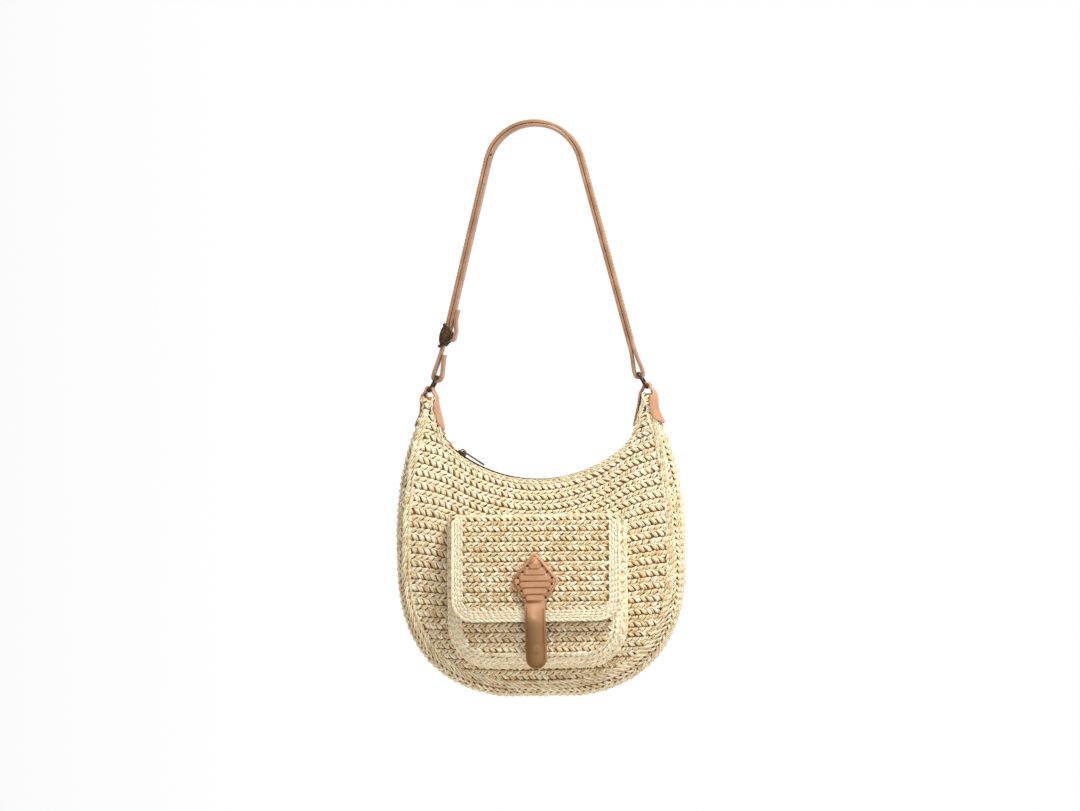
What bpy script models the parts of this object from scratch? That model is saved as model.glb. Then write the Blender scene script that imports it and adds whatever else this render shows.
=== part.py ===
"""Hobo bag: a crochet crescent body with a zipped mouth and a flapped front pocket,
hanging from a doubled, adjustable leather strap.

X is to the right, the pocket faces -Y and +Z is up. The origin is on the underside of
the strap at its highest point, where a shoulder, hand or hook carries it.
Lengths below are in millimetres.
"""

import math

import bpy
import bmesh
from mathutils import Vector
from mathutils.bvhtree import BVHTree

MM = 0.001

# Strap
STRAP_WIDTH = 20.0
LAYER = 3.0
LAYER_GAP = 0.6
ARCH_RADIUS = 47.0
LEG_ANGLE = math.radians(14.2)

# Rings between strap and body
RING_WIRE = 1.5
RING_UPPER = (106.0, -261.0)
RING_LOWER = (114.4, -276.0)
RING_RAIL = 13.6

# Body outline: half width against height
HALF_WIDTH = 150.0
WIDEST_Z = -446.0
BOTTOM_Z = -596.0
BOTTOM_REACH = 152.0
BOTTOM_POWER = 2.6
PEAK_HALF_WIDTH = 122.0
PEAK_INNER = 107.8
SHOULDER_Z = -299.0
SHOULDER_POWER = 2.6
PEAK_Z = -281.0

# Mouth
MOUTH_RADIUS = 138.0
MOUTH_CENTRE_Z = -232.5
MOUTH_ANGLE = math.radians(44.5)
MOUTH_HALF_DEPTH = 17.2

# Depth
GUSSET_HALF = 38.0
GUSSET_PEAK_HALF = 14.0
GUSSET_BULGE = 8.0
BULGE = 13.0
BACK_BULGE = 23.0
CROCHET = 4.5
PANEL_INSET = CROCHET + 0.9

# Pocket and flap
POCKET_HALF = 94.0
POCKET_TOP = -415.0
POCKET_BOTTOM = -566.0
POCKET_CORNER = 45.0
POCKET_DEPTH = 20.0
POCKET_BAND = 16.0
FLAP_HALF = 88.5
FLAP_TOP = -407.0
FLAP_BOTTOM = -517.0
FLAP_CORNER = 24.0
FLAP_DEPTH = 25.5
FLAP_THICKNESS = 4.2
FLAP_ROUND = 7.0
FLAP_EDGE_GAP = 3.2
SWELL = 3.0

# Closure tab
TAB_THICKNESS = 2.5
TAB_APEX_Z = -446.0
TAB_CORNER_Z = -474.0
TAB_CORNER_HALF = 24.0
TAB_FOLD_Z = -500.0
TAB_HALF = 10.7
TAB_END_Z = -566.0
SNAP_Z = -545.5

# Zip
TEETH_PITCH = 4.0
TEETH_ANGLE = math.radians(40.5)
SLIDER_ANGLE = math.radians(-36.8)

MATERIALS = {
    "crochet_straw": ((0.86, 0.74, 0.52), 0.75, 0.0),
    "lining_cotton": ((0.55, 0.42, 0.28), 0.9, 0.0),
    "tan_leather": ((0.55, 0.32, 0.18), 0.5, 0.0),
    "zip_tape": ((0.62, 0.46, 0.30), 0.9, 0.0),
    "antique_bronze": ((0.12, 0.09, 0.06), 0.35, 0.9),
}


def clear_scene():
    for item in list(bpy.data.objects):
        bpy.data.objects.remove(item, do_unlink=True)


def make_materials():
    made = {}
    for name, (colour, roughness, metallic) in MATERIALS.items():
        finish = bpy.data.materials.new(name)
        finish.use_nodes = True
        shader = finish.node_tree.nodes["Principled BSDF"]
        shader.inputs["Base Color"].default_value = (*colour, 1.0)
        shader.inputs["Roughness"].default_value = roughness
        shader.inputs["Metallic"].default_value = metallic
        made[name] = finish
    return made


def make_object(name, points, faces, finish, outward=None, smooth=False, helper=False):
    """A mesh from millimetre points. An open surface takes a direction that it must face."""
    mesh = bpy.data.meshes.new(name)
    mesh.from_pydata([Vector(p) * MM for p in points], [], faces)
    built = bmesh.new()
    built.from_mesh(mesh)
    bmesh.ops.remove_doubles(built, verts=built.verts, dist=1e-7)
    bmesh.ops.recalc_face_normals(built, faces=built.faces)
    if outward is not None:
        total = sum((f.normal * f.calc_area() for f in built.faces), Vector())
        if total.dot(Vector(outward)) < 0:
            bmesh.ops.reverse_faces(built, faces=built.faces)
    built.to_mesh(mesh)
    built.free()
    mesh.materials.append(finish)
    for polygon in mesh.polygons:
        polygon.use_smooth = smooth
    made = bpy.data.objects.new(name, mesh)
    bpy.context.scene.collection.objects.link(made)
    if helper:
        made.hide_render = True
        made.display_type = "WIRE"
    return made


def thicken(target, thickness):
    """Adds thickness on the side away from the face normals."""
    shell = target.modifiers.new("thickness", "SOLIDIFY")
    shell.thickness = thickness * MM
    shell.offset = -1.0
    shell.use_even_offset = True
    shell.use_quality_normals = True


def combine(target, other, operation):
    cut = target.modifiers.new(other.name, "BOOLEAN")
    cut.operation = operation
    cut.solver = "EXACT"
    cut.object = other


def skin(rings, closed=False):
    """Points and faces of a solid through a list of equal rings, with flat ends unless closed."""
    count = len(rings[0])
    points = [p for ring in rings for p in ring]
    faces = []
    spans = len(rings) if closed else len(rings) - 1
    for i in range(spans):
        j = (i + 1) % len(rings)
        for k in range(count):
            m = (k + 1) % count
            faces.append((i * count + k, i * count + m, j * count + m, j * count + k))
    if not closed:
        faces.append(tuple(range(count)))
        faces.append(tuple((len(rings) - 1) * count + k for k in range(count)))
    return points, faces


def sheet_faces(rows):
    """Points and quads of a grid given as rows of equal length."""
    width = len(rows[0])
    points = [p for row in rows for p in row]
    faces = []
    for i in range(len(rows) - 1):
        for k in range(width - 1):
            a = i * width + k
            faces.append((a, a + 1, a + width + 1, a + width))
    return points, faces


def resample(points, count):
    """Equal steps along a polyline."""
    points = [Vector(p) for p in points]
    run = [0.0]
    for a, b in zip(points, points[1:]):
        run.append(run[-1] + (b - a).length)
    out = []
    index = 0
    for step in range(count + 1):
        goal = run[-1] * step / count
        while index < len(points) - 2 and run[index + 1] < goal:
            index += 1
        span = run[index + 1] - run[index]
        share = 0.0 if span == 0 else (goal - run[index]) / span
        out.append(points[index].lerp(points[index + 1], min(1.0, share)))
    return out


def offset_line(points, amount):
    """Moves a 2D polyline to its left by an amount, or by a function of each point."""
    out = []
    given = amount if callable(amount) else lambda p: amount
    for i, p in enumerate(points):
        a = points[max(0, i - 1)]
        b = points[min(len(points) - 1, i + 1)]
        along = (b - a).normalized()
        out.append(p + Vector((-along.y, along.x)) * given(p))
    return out


def coons(bottom, top, left, right):
    """Rows of 3D points filling four curves that meet at the corners."""
    rows = []
    for j in range(len(left)):
        v = j / (len(left) - 1)
        row = []
        for i in range(len(bottom)):
            u = i / (len(bottom) - 1)
            across = left[j] * (1 - u) + right[j] * u
            along = bottom[i] * (1 - v) + top[i] * v
            corners = (bottom[0] * (1 - u) + bottom[-1] * u) * (1 - v)
            corners += (top[0] * (1 - u) + top[-1] * u) * v
            row.append(across + along - corners)
        rows.append(row)
    return rows


# ---------------------------------------------------------------- body outline


def half_width(z):
    """Half width of the silhouette at a height."""
    if z > SHOULDER_Z:
        return PEAK_HALF_WIDTH
    if z > WIDEST_Z:
        rise = (z - WIDEST_Z) / (SHOULDER_Z - WIDEST_Z)
        return HALF_WIDTH - (HALF_WIDTH - PEAK_HALF_WIDTH) * rise**SHOULDER_POWER
    drop = min(1.0, (WIDEST_Z - z) / BOTTOM_REACH)
    return HALF_WIDTH * (1 - drop**BOTTOM_POWER) ** (1 / BOTTOM_POWER)


def silhouette():
    """Right half of the outline as (x, z), from the middle of the bottom to the peak."""
    line = [Vector((0.0, BOTTOM_Z))]
    for i in range(41):
        sweep = math.radians(90 * i / 40)
        drop = (WIDEST_Z - BOTTOM_Z) * math.cos(sweep)
        line.append(Vector((half_width(WIDEST_Z - drop), WIDEST_Z - drop)))
    for i in range(1, 31):
        z = WIDEST_Z + (PEAK_Z - WIDEST_Z) * i / 30
        line.append(Vector((half_width(z), z)))
    return resample(line, 220)


def gusset_half(z):
    """Half depth of the gusset at a height."""
    rise = min(1.0, max(0.0, (z + 500.0) / (PEAK_Z + 500.0)))
    return GUSSET_HALF - (GUSSET_HALF - GUSSET_PEAK_HALF) * rise**1.6


def gusset_bulge(z):
    """How far the gusset's middle stands outside its edges."""
    return GUSSET_BULGE * min(1.0, max(0.12, (gusset_half(z) - GUSSET_PEAK_HALF) / 14.0))


def mouth_line(drop, high):
    """Right half of the mouth edge as (x, z), from its lowest point up to a height."""
    line = []
    for i in range(41):
        a = MOUTH_ANGLE * i / 40
        r = MOUTH_RADIUS + drop
        line.append(Vector((r * math.sin(a), MOUTH_CENTRE_Z - r * math.cos(a))))
    corner = (PEAK_INNER - MOUTH_RADIUS * math.sin(MOUTH_ANGLE)) / (1 - math.sin(MOUTH_ANGLE))
    reach = MOUTH_RADIUS - corner
    middle = Vector((reach * math.sin(MOUTH_ANGLE), MOUTH_CENTRE_Z - reach * math.cos(MOUTH_ANGLE)))
    for i in range(1, 21):
        a = MOUTH_ANGLE + (math.radians(90) - MOUTH_ANGLE) * i / 20
        r = corner + drop
        line.append(middle + Vector((r * math.sin(a), -r * math.cos(a))))
    line.append(Vector((line[-1].x, high + 5.0)))
    kept = []
    for a, b in zip(line, line[1:]):
        kept.append(a)
        if b.y > high:
            kept.append(a.lerp(b, (high - a.y) / (b.y - a.y)))
            break
    return kept


def panel_rows(inset, drop, tip_z, thinner, columns, rows, bulge=None):
    """Front panel surface as a grid of points, pulled in by inset and made shallower."""
    side = offset_line(silhouette(), lambda p: gusset_bulge(p.y) + inset)
    side = [p for p in side if p.y < tip_z]
    tip = side[-1]
    mouth = [p for p in mouth_line(drop, tip_z - 1.0) if p.x < tip.x] + [tip]
    length = resample(side, 400)
    corner = int(400 * 0.36)
    low = length[: corner + 1]
    high = length[corner:]

    def seam(p):
        return Vector((p.x, -(gusset_half(p.y) - thinner), p.y))

    half = columns // 2
    low_right = [seam(p) for p in resample(low, half)]
    bottom = [Vector((-p.x, p.y, p.z)) for p in reversed(low_right)] + low_right[1:]
    right = [seam(p) for p in resample(high, rows)]
    left = [Vector((-p.x, p.y, p.z)) for p in right]
    edge = resample(mouth, half)
    depth = MOUTH_HALF_DEPTH - thinner
    top_right = [Vector((p.x, -depth, p.y)) for p in edge]
    top_right[-1] = right[-1]
    top = [Vector((-p.x, p.y, p.z)) for p in reversed(top_right)] + top_right[1:]
    grid = coons(bottom, top, left, right)
    fullness = BULGE if bulge is None else bulge
    for j, row in enumerate(grid):
        v = j / rows
        for i, p in enumerate(row):
            u = i / columns
            p.y -= fullness * max(0.0, math.sin(math.pi * u)) ** 0.8 * math.sin(math.pi * v**0.75)
    return grid


FRONT_GRID = panel_rows(PANEL_INSET, 0.0, -300.0, 0.0, 28, 16)
FRONT_POINTS, FRONT_FACES = sheet_faces(FRONT_GRID)
FRONT_TREE = BVHTree.FromPolygons(FRONT_POINTS, FRONT_FACES)


def front_y(x, z):
    """Outside of the front panel at (x, z)."""
    hit = FRONT_TREE.ray_cast(Vector((x, -300.0, z)), Vector((0.0, 1.0, 0.0)))
    return hit[0].y


def mirrored(points, axis):
    out = []
    for p in points:
        q = Vector(p)
        q[axis] = -q[axis]
        out.append(q)
    return out


def build_panels(finish):
    points, faces = sheet_faces(FRONT_GRID)
    front = make_object("front_panel", points, faces, finish, outward=(0, -1, 0), smooth=True)
    thicken(front, CROCHET)
    points, faces = sheet_faces(
        panel_rows(PANEL_INSET, 0.0, -300.0, 0.0, 28, 16, BACK_BULGE)
    )
    points = mirrored(points, 1)
    back = make_object("back_panel", points, faces, finish, outward=(0, 1, 0), smooth=True)
    thicken(back, CROCHET)


GUSSET_SECTION = ((-1.0, 1.0), (-0.72, 0.3), (-0.4, 0.0), (0.4, 0.0), (0.72, 0.3), (1.0, 1.0))


def build_gusset(finish):
    """A strip round sides and bottom, flat in its middle, thicker where it forms the peaks."""
    right = silhouette()
    stations = resample([p for p in right if p.x > 39.0], 26)
    line = [Vector((-p.x, p.y)) for p in reversed(stations)] + stations
    line = [line[0] + Vector((0, 0))] + line[1:]
    rings = []
    for i, p in enumerate(line):
        a = line[max(0, i - 1)]
        b = line[min(len(line) - 1, i + 1)]
        along = (b - a).normalized()
        if abs(p.x) > 121.9 and p.y > SHOULDER_Z:
            along = Vector((0.0, 1.0 if p.x > 0 else -1.0))
        if p.y < BOTTOM_Z + 0.05:
            along = Vector((1.0, 0.0))
        inward = Vector((-along.y, along.x))
        half = gusset_half(p.y)
        peak = max(0.0, min(1.0, (p.y - (SHOULDER_Z + 2.0)) / 5.0))
        bulge = gusset_bulge(p.y)
        deep = CROCHET * (1 - peak) + (PEAK_HALF_WIDTH - PEAK_INNER) * peak
        outer = []
        inner = []
        for share, lift in GUSSET_SECTION:
            q = p + inward * (lift * bulge)
            outer.append(Vector((q.x, share * half, q.y)))
            under = deep if peak > 0 else lift * bulge + CROCHET
            q = p + inward * under
            inner.append(Vector((q.x, share * half, q.y)))
        rings.append(outer + inner[::-1])
    points, faces = skin(rings)
    make_object("gusset", points, faces, finish, smooth=True)


def build_lining(finish):
    """One thin open-topped bag inside the crochet."""
    rows = panel_rows(PANEL_INSET + 1.2, 3.0, -322.0, CROCHET + 1.2, 20, 12)
    points, faces = sheet_faces(rows)
    count = len(points)
    fuller = panel_rows(
        PANEL_INSET + 1.2, 3.0, -322.0, CROCHET + 1.2, 20, 12, BACK_BULGE
    )
    points = points + mirrored(sheet_faces(fuller)[0], 1)
    faces = faces + [tuple(i + count for i in reversed(f)) for f in faces]
    width = len(rows[0])
    border = [j * width for j in range(len(rows) - 1, 0, -1)]
    border += list(range(width))
    border += [j * width + width - 1 for j in range(1, len(rows))]
    shares = (0.5, 0.0, -0.5)
    strips = [border]
    for share in shares:
        strip = []
        for position, index in enumerate(border):
            p = points[index]
            a = points[border[max(0, position - 1)]]
            b = points[border[min(len(border) - 1, position + 1)]]
            along = Vector((b.x - a.x, b.z - a.z)).normalized()
            out = Vector((along.y, -along.x))
            bulge = 6.5 * (1 - share**2) * min(1.0, (abs(p.y) - 9.0) / 14.0)
            points.append(Vector((p.x + out.x * bulge, p.y * share, p.z + out.y * bulge)))
            strip.append(len(points) - 1)
        strips.append(strip)
    strips.append([i + count for i in border])
    for a, b in zip(strips, strips[1:]):
        for i in range(len(border) - 1):
            faces.append((a[i], a[i + 1], b[i + 1], b[i]))
    lining = make_object("lining", points, faces, finish, smooth=True)
    thicken(lining, 0.8)


# ------------------------------------------------------------------------ zip


def zip_path(drop, high, count):
    right = resample(mouth_line(drop, high), count)
    return [Vector((-p.x, p.y)) for p in reversed(right)] + right[1:]


def build_zip_tapes(finish):
    for name, side in (("zip_tape_front", -1.0), ("zip_tape_back", 1.0)):
        upper = zip_path(1.5, -303.0, 22)
        lower = offset_line(upper, -0.8)
        rings = []
        for a, b in zip(upper, lower):
            near, far = side * 0.8, side * 12.2
            rings.append(
                [
                    Vector((a.x, near, a.y)),
                    Vector((a.x, far, a.y)),
                    Vector((b.x, far, b.y)),
                    Vector((b.x, near, b.y)),
                ]
            )
        points, faces = skin(rings)
        make_object(name, points, faces, finish, smooth=True)


def on_mouth(radius, angle, y):
    """A point of the zip track: the mouth circle seen from its centre."""
    return Vector((radius * math.sin(angle), y, MOUTH_CENTRE_Z - radius * math.cos(angle)))


def build_chains(finish):
    """Two combs whose teeth pass between each other."""
    low = MOUTH_RADIUS + 1.2
    high = MOUTH_RADIUS - 0.8
    step = TEETH_PITCH / MOUTH_RADIUS
    count = int(2 * TEETH_ANGLE / step)
    start = -step * count / 2
    for name, side, shift in (("zip_chain_front", -1.0, 0.0), ("zip_chain_back", 1.0, 0.5)):
        points = []
        faces = []

        def corner(radius, angle, y):
            points.append(on_mouth(radius, angle, y))
            return len(points) - 1

        def box(a0, a1, y0, y1):
            return [
                [corner(r, a, y) for r, a, y in (
                    (low, a, y0), (low, a, y1), (high, a, y1), (high, a, y0)
                )]
                for a in (a0, a1)
            ]

        for i in range(count):
            a0 = start + (i + shift) * step
            a1 = a0 + step * 0.3
            a2 = a0 + step
            first, second = box(a0, a1, side * 3.4, side * 2.2)
            third = box(a1, a2, side * 3.4, side * 2.2)[1]
            tooth = box(a0, a1, side * 2.2, side * -1.6)
            for here, there in ((first, second), (second, third)):
                faces.append((here[0], here[1], there[1], there[0]))
                faces.append((here[2], here[3], there[3], there[2]))
                faces.append((here[3], here[0], there[0], there[3]))
            faces.append((second[1], second[2], third[2], third[1]))
            here, there = tooth
            faces.append((here[0], here[1], there[1], there[0]))
            faces.append((here[1], here[2], there[2], there[1]))
            faces.append((here[2], here[3], there[3], there[2]))
            faces.append((here[0], here[1], here[2], here[3]))
            faces.append((there[0], there[1], there[2], there[3]))
            if i == 0:
                faces.append(tuple(first))
            if i == count - 1:
                faces.append(tuple(third))
        make_object(name, points, faces, finish)


def track_block(name, angle, length, y_half, inner_r, outer_r, finish, helper=False):
    """A straight block lying along the zip track at an angle."""
    middle = on_mouth((inner_r + outer_r) / 2, angle, 0.0)
    along = Vector((math.cos(angle), 0.0, math.sin(angle)))
    out = Vector((math.sin(angle), 0.0, -math.cos(angle)))
    rings = []
    for end in (-0.5, 0.5):
        base = middle + along * (length * end)
        ring = []
        for y, r in ((-1, -1), (1, -1), (1, 1), (-1, 1)):
            p = base + out * (r * (outer_r - inner_r) / 2)
            p.y = y * y_half
            ring.append(p)
        rings.append(ring)
    points, faces = skin(rings)
    return make_object(name, points, faces, finish, helper=helper)


def build_zip_hardware(finish):
    stop_angle = TEETH_ANGLE + 0.016
    top = MOUTH_RADIUS - 1.0
    track_block("zip_stop_left", -stop_angle - 0.003, 2.2, 3.6, top, top + 2.1, finish)
    track_block("zip_stop_right", stop_angle + 0.012, 2.2, 3.6, top, top + 2.1, finish)

    roof = MOUTH_RADIUS - 3.0
    body = track_block(
        "zip_slider", SLIDER_ANGLE, 9.0, 5.4, roof, MOUTH_RADIUS + 0.9, finish
    )
    channel = track_block(
        "cut_channel", SLIDER_ANGLE, 12.0, 3.9, roof + 1.5, MOUTH_RADIUS + 3.0, finish, helper=True
    )
    combine(body, channel, "DIFFERENCE")

    along = Vector((math.cos(SLIDER_ANGLE), 0.0, math.sin(SLIDER_ANGLE)))
    out = Vector((math.sin(SLIDER_ANGLE), 0.0, -math.cos(SLIDER_ANGLE)))
    seat = on_mouth(roof + 0.4, SLIDER_ANGLE, 0.0)
    rings = []
    for t, h in ((-3.4, 0.0), (-3.0, 2.4), (-1.6, 3.5), (1.6, 3.5), (3.0, 2.4), (3.4, 0.0)):
        ring = []
        for y, share in ((-1, 0), (1, 0), (1, 1), (-1, 1)):
            p = seat + along * (t * (1 - 0.27 * share)) - out * (h - 0.9 * share)
            p.y = y * 1.1
            ring.append(p)
        rings.append(ring)
    rings[0] = [p + out * 0.1 for p in rings[0]]
    points, faces = skin(rings)
    bail = make_object("join_bail", points, faces, finish, helper=True)
    combine(body, bail, "UNION")
    return body, seat, along, out


def build_pull(seat, along, out, finish):
    """A flat pull whose crossbar lies under the bail."""
    pivot = seat - out * 1.5
    lean = math.radians(3.0)
    run = along * math.cos(lean) - out * math.sin(lean)
    rise = out * -math.cos(lean) - along * math.sin(lean)
    outline = []
    for a, w in ((-0.7, 2.9), (5.4, 2.9), (8.5, 2.2), (24.0, 3.6), (26.2, 2.4)):
        outline.append((a, w))
    rings = []
    for a, w in outline:
        ring = []
        for y, h in ((-1, -1), (1, -1), (1, 1), (-1, 1)):
            p = pivot + run * a + rise * (0.7 * h)
            p.y = y * w
            ring.append(p)
        rings.append(ring)
    points, faces = skin(rings)
    pull = make_object("zip_pull", points, faces, finish)
    rings = []
    for a in (0.7, 4.2):
        ring = []
        for y, h in ((-1, -1), (1, -1), (1, 1), (-1, 1)):
            p = pivot + run * a + rise * (3.0 * h)
            p.y = y * 1.6
            ring.append(p)
        rings.append(ring)
    points, faces = skin(rings)
    slot = make_object("cut_slot", points, faces, finish, helper=True)
    combine(pull, slot, "DIFFERENCE")
    return pull, pivot


# ---------------------------------------------------------------------- strap


def leg_point(side, s, off):
    """A point beside a strap leg: s down the leg, off outward from its middle."""
    middle = ARCH_RADIUS + LAYER + LAYER_GAP / 2
    start_x = middle * math.cos(LEG_ANGLE)
    start_z = -ARCH_RADIUS + middle * math.sin(LEG_ANGLE)
    x = start_x + s * math.sin(LEG_ANGLE) + off * math.cos(LEG_ANGLE)
    z = start_z - s * math.cos(LEG_ANGLE) + off * math.sin(LEG_ANGLE)
    return Vector((side * x, z))


def leg_length():
    middle = ARCH_RADIUS + LAYER + LAYER_GAP / 2
    start_z = -ARCH_RADIUS + middle * math.sin(LEG_ANGLE)
    return (start_z - RING_UPPER[1]) / math.cos(LEG_ANGLE)


LEG = leg_length()
LAYER_OFF = (LAYER + LAYER_GAP) / 2


def arch_points(radius, steps):
    """Arch from the left tangent point to the right one."""
    reach = math.pi / 2 - LEG_ANGLE
    out = []
    for i in range(steps + 1):
        a = -reach + 2 * reach * i / steps
        out.append(Vector((radius * math.sin(a), -ARCH_RADIUS + radius * math.cos(a))))
    return out


def ring_loop(side, first):
    """The strap round a ring's upper bar: from the outer side to the inner, or the reverse."""
    loop = [(LEG - 28, LAYER_OFF), (LEG - 14, 2.9), (LEG - 5, 4.2)]
    for i in range(9):
        a = math.pi * i / 8
        loop.append((LEG + 4.8 * math.sin(a), 4.3 * math.cos(a)))
    loop += [(LEG - 5, -4.2), (LEG - 14, -2.9), (LEG - 24, -LAYER_OFF)]
    line = [leg_point(side, s, off) for s, off in loop]
    return line if first == "outer" else line[::-1]


def flat_sweep(name, line, half_width_at, thickness, finish, smooth=True):
    """A flat strip along a line in XZ, its width along Y."""
    rings = []
    for i, p in enumerate(line):
        a = line[max(0, i - 1)]
        b = line[min(len(line) - 1, i + 1)]
        before = (p - a).normalized() if i > 0 else (b - p).normalized()
        after = (b - p).normalized() if i < len(line) - 1 else before
        along = (before + after).normalized()
        stretch = 1 / max(0.5, along.dot(after))
        side = Vector((-along.y, along.x)) * (thickness / 2 * stretch)
        w = half_width_at(i / (len(line) - 1))
        rings.append(
            [
                Vector((p.x + side.x, -w, p.y + side.y)),
                Vector((p.x + side.x, w, p.y + side.y)),
                Vector((p.x - side.x, w, p.y - side.y)),
                Vector((p.x - side.x, -w, p.y - side.y)),
            ]
        )
    points, faces = skin(rings)
    return make_object(name, points, faces, finish, smooth=smooth)


TAKE_UP_TOP = 26.0
TAKE_UP_END = 150.0
BAR_S = 190.0


def build_strap(finish):
    middle = ARCH_RADIUS + LAYER + LAYER_GAP / 2
    line = ring_loop(-1, "inner")
    line += [leg_point(-1, s, LAYER_OFF) for s in (150, 75)]
    line += arch_points(middle + LAYER_OFF, 26)
    line += [leg_point(1, s, LAYER_OFF) for s in (75, 150)]
    line += ring_loop(1, "outer")
    line += [leg_point(1, s, -LAYER_OFF) for s in (150, 75)]
    line += arch_points(middle - LAYER_OFF, 26)[::-1]
    line += [leg_point(-1, TAKE_UP_TOP - 0.3, -LAYER_OFF)]
    flat_sweep("strap_long", line, lambda u: STRAP_WIDTH / 2, LAYER, finish)

    line = [leg_point(-1, TAKE_UP_TOP, -LAYER_OFF), leg_point(-1, TAKE_UP_END - 0.3, -LAYER_OFF)]
    line = resample(line, 6)
    take_up = flat_sweep("strap_take_up", line, lambda u: STRAP_WIDTH / 2, LAYER, finish)

    near = -LAYER_OFF
    path = [(TAKE_UP_END, near), (BAR_S - 4, near)]
    middle_off = near - LAYER / 2 - 1.7
    for i in range(9):
        a = math.pi * i / 8
        path.append((BAR_S + 3.2 * math.sin(a), middle_off + 3.2 * math.cos(a)))
    path += [(BAR_S - 8, middle_off - 3.1), (BAR_S - 16, near - LAYER - 1.0)]
    path += [(BAR_S - 20, near - LAYER - 0.35), (BAR_S - 30, near - LAYER - 0.35)]
    line = [leg_point(-1, s, off) for s, off in path]
    fold = flat_sweep("adjuster_strap_fold", line, lambda u: STRAP_WIDTH / 2, LAYER, finish)
    return take_up, fold, middle_off


def tube(name, path, radius, finish, sides=8, closed=False, helper=False):
    """A round bar along 3D points."""
    rings = []
    count = len(path)
    reference = None
    for i, p in enumerate(path):
        a = path[(i - 1) % count] if closed or i > 0 else p
        b = path[(i + 1) % count] if closed or i < count - 1 else p
        along = (b - a).normalized()
        if reference is None:
            reference = along.orthogonal().normalized()
        reference = (reference - along * reference.dot(along)).normalized()
        other = along.cross(reference)
        ring = []
        for k in range(sides):
            turn = 2 * math.pi * k / sides
            ring.append(p + (reference * math.cos(turn) + other * math.sin(turn)) * radius)
        rings.append(ring)
    points, faces = skin(rings, closed=closed)
    return make_object(name, points, faces, finish, smooth=True, helper=helper)


def build_adjuster(middle_off, finish):
    """A bowed frame outside the outer layer, with its centre bar inside it."""
    bar = 1.3
    outside = LAYER_OFF + LAYER / 2 + 0.4 + bar
    rail = STRAP_WIDTH / 2 + 0.5 + bar

    def place(s, off, y):
        p = leg_point(-1, s, off)
        return Vector((p.x, y, p.y))

    half = 12.0
    corner = 3.0
    path = []
    for s_sign, y_sign in ((-1, 1), (1, 1), (1, -1), (-1, -1)):
        turns = ((1, 0), (0.7, 0.7), (0, 1))
        if s_sign * y_sign > 0:
            turns = turns[::-1]
        for du, dv in turns:
            s = s_sign * (half - corner + corner * du)
            y = y_sign * (rail - corner + corner * dv)
            path.append((s, y))
        path.append(None)
    loop = []
    for item in path:
        if item is not None:
            s, y = item
            loop.append((s, y))
    full = []
    count = len(loop)
    for i, (s, y) in enumerate(loop):
        full.append((s, y))
        t, w = loop[(i + 1) % count]
        if abs(t - s) > 10:
            for share in (0.25, 0.5, 0.75):
                full.append((s + (t - s) * share, y + (w - y) * share))
    points = []
    for s, y in full:
        bow = (outside - middle_off) * max(0.0, 1 - (s / (half - 1.0)) ** 2)
        points.append(place(BAR_S + s, outside - bow, y))
    frame = tube("adjuster_buckle", points, bar, finish, closed=True)
    ends = [place(BAR_S, middle_off, -rail), place(BAR_S, middle_off, rail)]
    centre = tube("join_centre_bar", ends, bar * 0.92, finish, helper=True)
    combine(frame, centre, "UNION")
    return frame


def build_rings(finish):
    made = []
    for name, side in (("ring_left", -1), ("ring_right", 1)):
        top = Vector((side * RING_UPPER[0], 0.0, RING_UPPER[1]))
        low = Vector((side * RING_LOWER[0], 0.0, RING_LOWER[1]))
        down = (low - top).normalized()
        height = (low - top).length
        corner = 3.2
        middle = (top + low) / 2
        path = []
        for v_sign, y_sign in ((-1, 1), (1, 1), (1, -1), (-1, -1)):
            start = {(-1, 1): 0, (1, 1): 90, (1, -1): 180, (-1, -1): 270}[(v_sign, y_sign)]
            for i in range(4):
                a = math.radians(start + 30 * i)
                v = v_sign * (height / 2 - corner) - corner * math.cos(a)
                y = y_sign * (RING_RAIL - corner) + corner * math.sin(a)
                p = middle + down * v
                p.y = y
                path.append(p)
        made.append(tube(name, path, RING_WIRE, finish, closed=True))
    return made


def mouth_x(z):
    """Where the mouth edge stands at a height near the peaks."""
    line = mouth_line(0.0, PEAK_Z)
    return max(p.x for p in line if p.y <= z + 0.01)


def build_side_tabs(finish):
    """A leather strip folded over the ring's lower bar and down both faces of the peak."""
    bx, bz = RING_LOWER
    line = [(mouth_x(z) - 2.0, z) for z in (-316.0, -312.0, -307.5)]
    line += [(106.2, -292.0), (106.2, -279.6), (108.6, -277.6)]
    for i in range(7):
        a = math.pi * i / 6
        line.append((bx - 4.1 * math.cos(a), bz + 4.4 * math.sin(a)))
    line += [(bx + 6.8, -277.4), (124.0, -279.4)]
    line += [(half_width(z) + 2.6, z) for z in (-292.0, -298.5)]
    line += [(half_width(z) + 3.2, z) for z in (-304.0, -308.5, -313.0)]

    def half(u):
        ends = min(u, 1 - u) * len(line)
        return 11.0 if ends > 1.9 else (9.0 if ends > 0.9 else 4.0)

    for name, side in (("side_tab_left", -1), ("side_tab_right", 1)):
        flat_sweep(name, [Vector((side * x, z)) for x, z in line], half, 2.2, finish)


# --------------------------------------------------------------------- pocket


def swell(x):
    return SWELL * max(0.0, 1 - (x / POCKET_HALF) ** 2)


def pocket_outline(inset, count):
    """The pocket's U as (x, z), left top to right top, pulled in by inset."""
    half = POCKET_HALF - inset
    low = POCKET_BOTTOM + inset
    corner = POCKET_CORNER - inset
    line = [Vector((half, POCKET_TOP)), Vector((half, low + corner))]
    for i in range(1, 17):
        a = math.radians(90 * i / 16)
        x = half - corner + corner * math.cos(a)
        line.append(Vector((x, low + corner - corner * math.sin(a))))
    line.append(Vector((0.0, low)))
    right = resample(line, count)
    return [Vector((-p.x, p.y)) for p in right] + right[::-1][1:]


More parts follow.
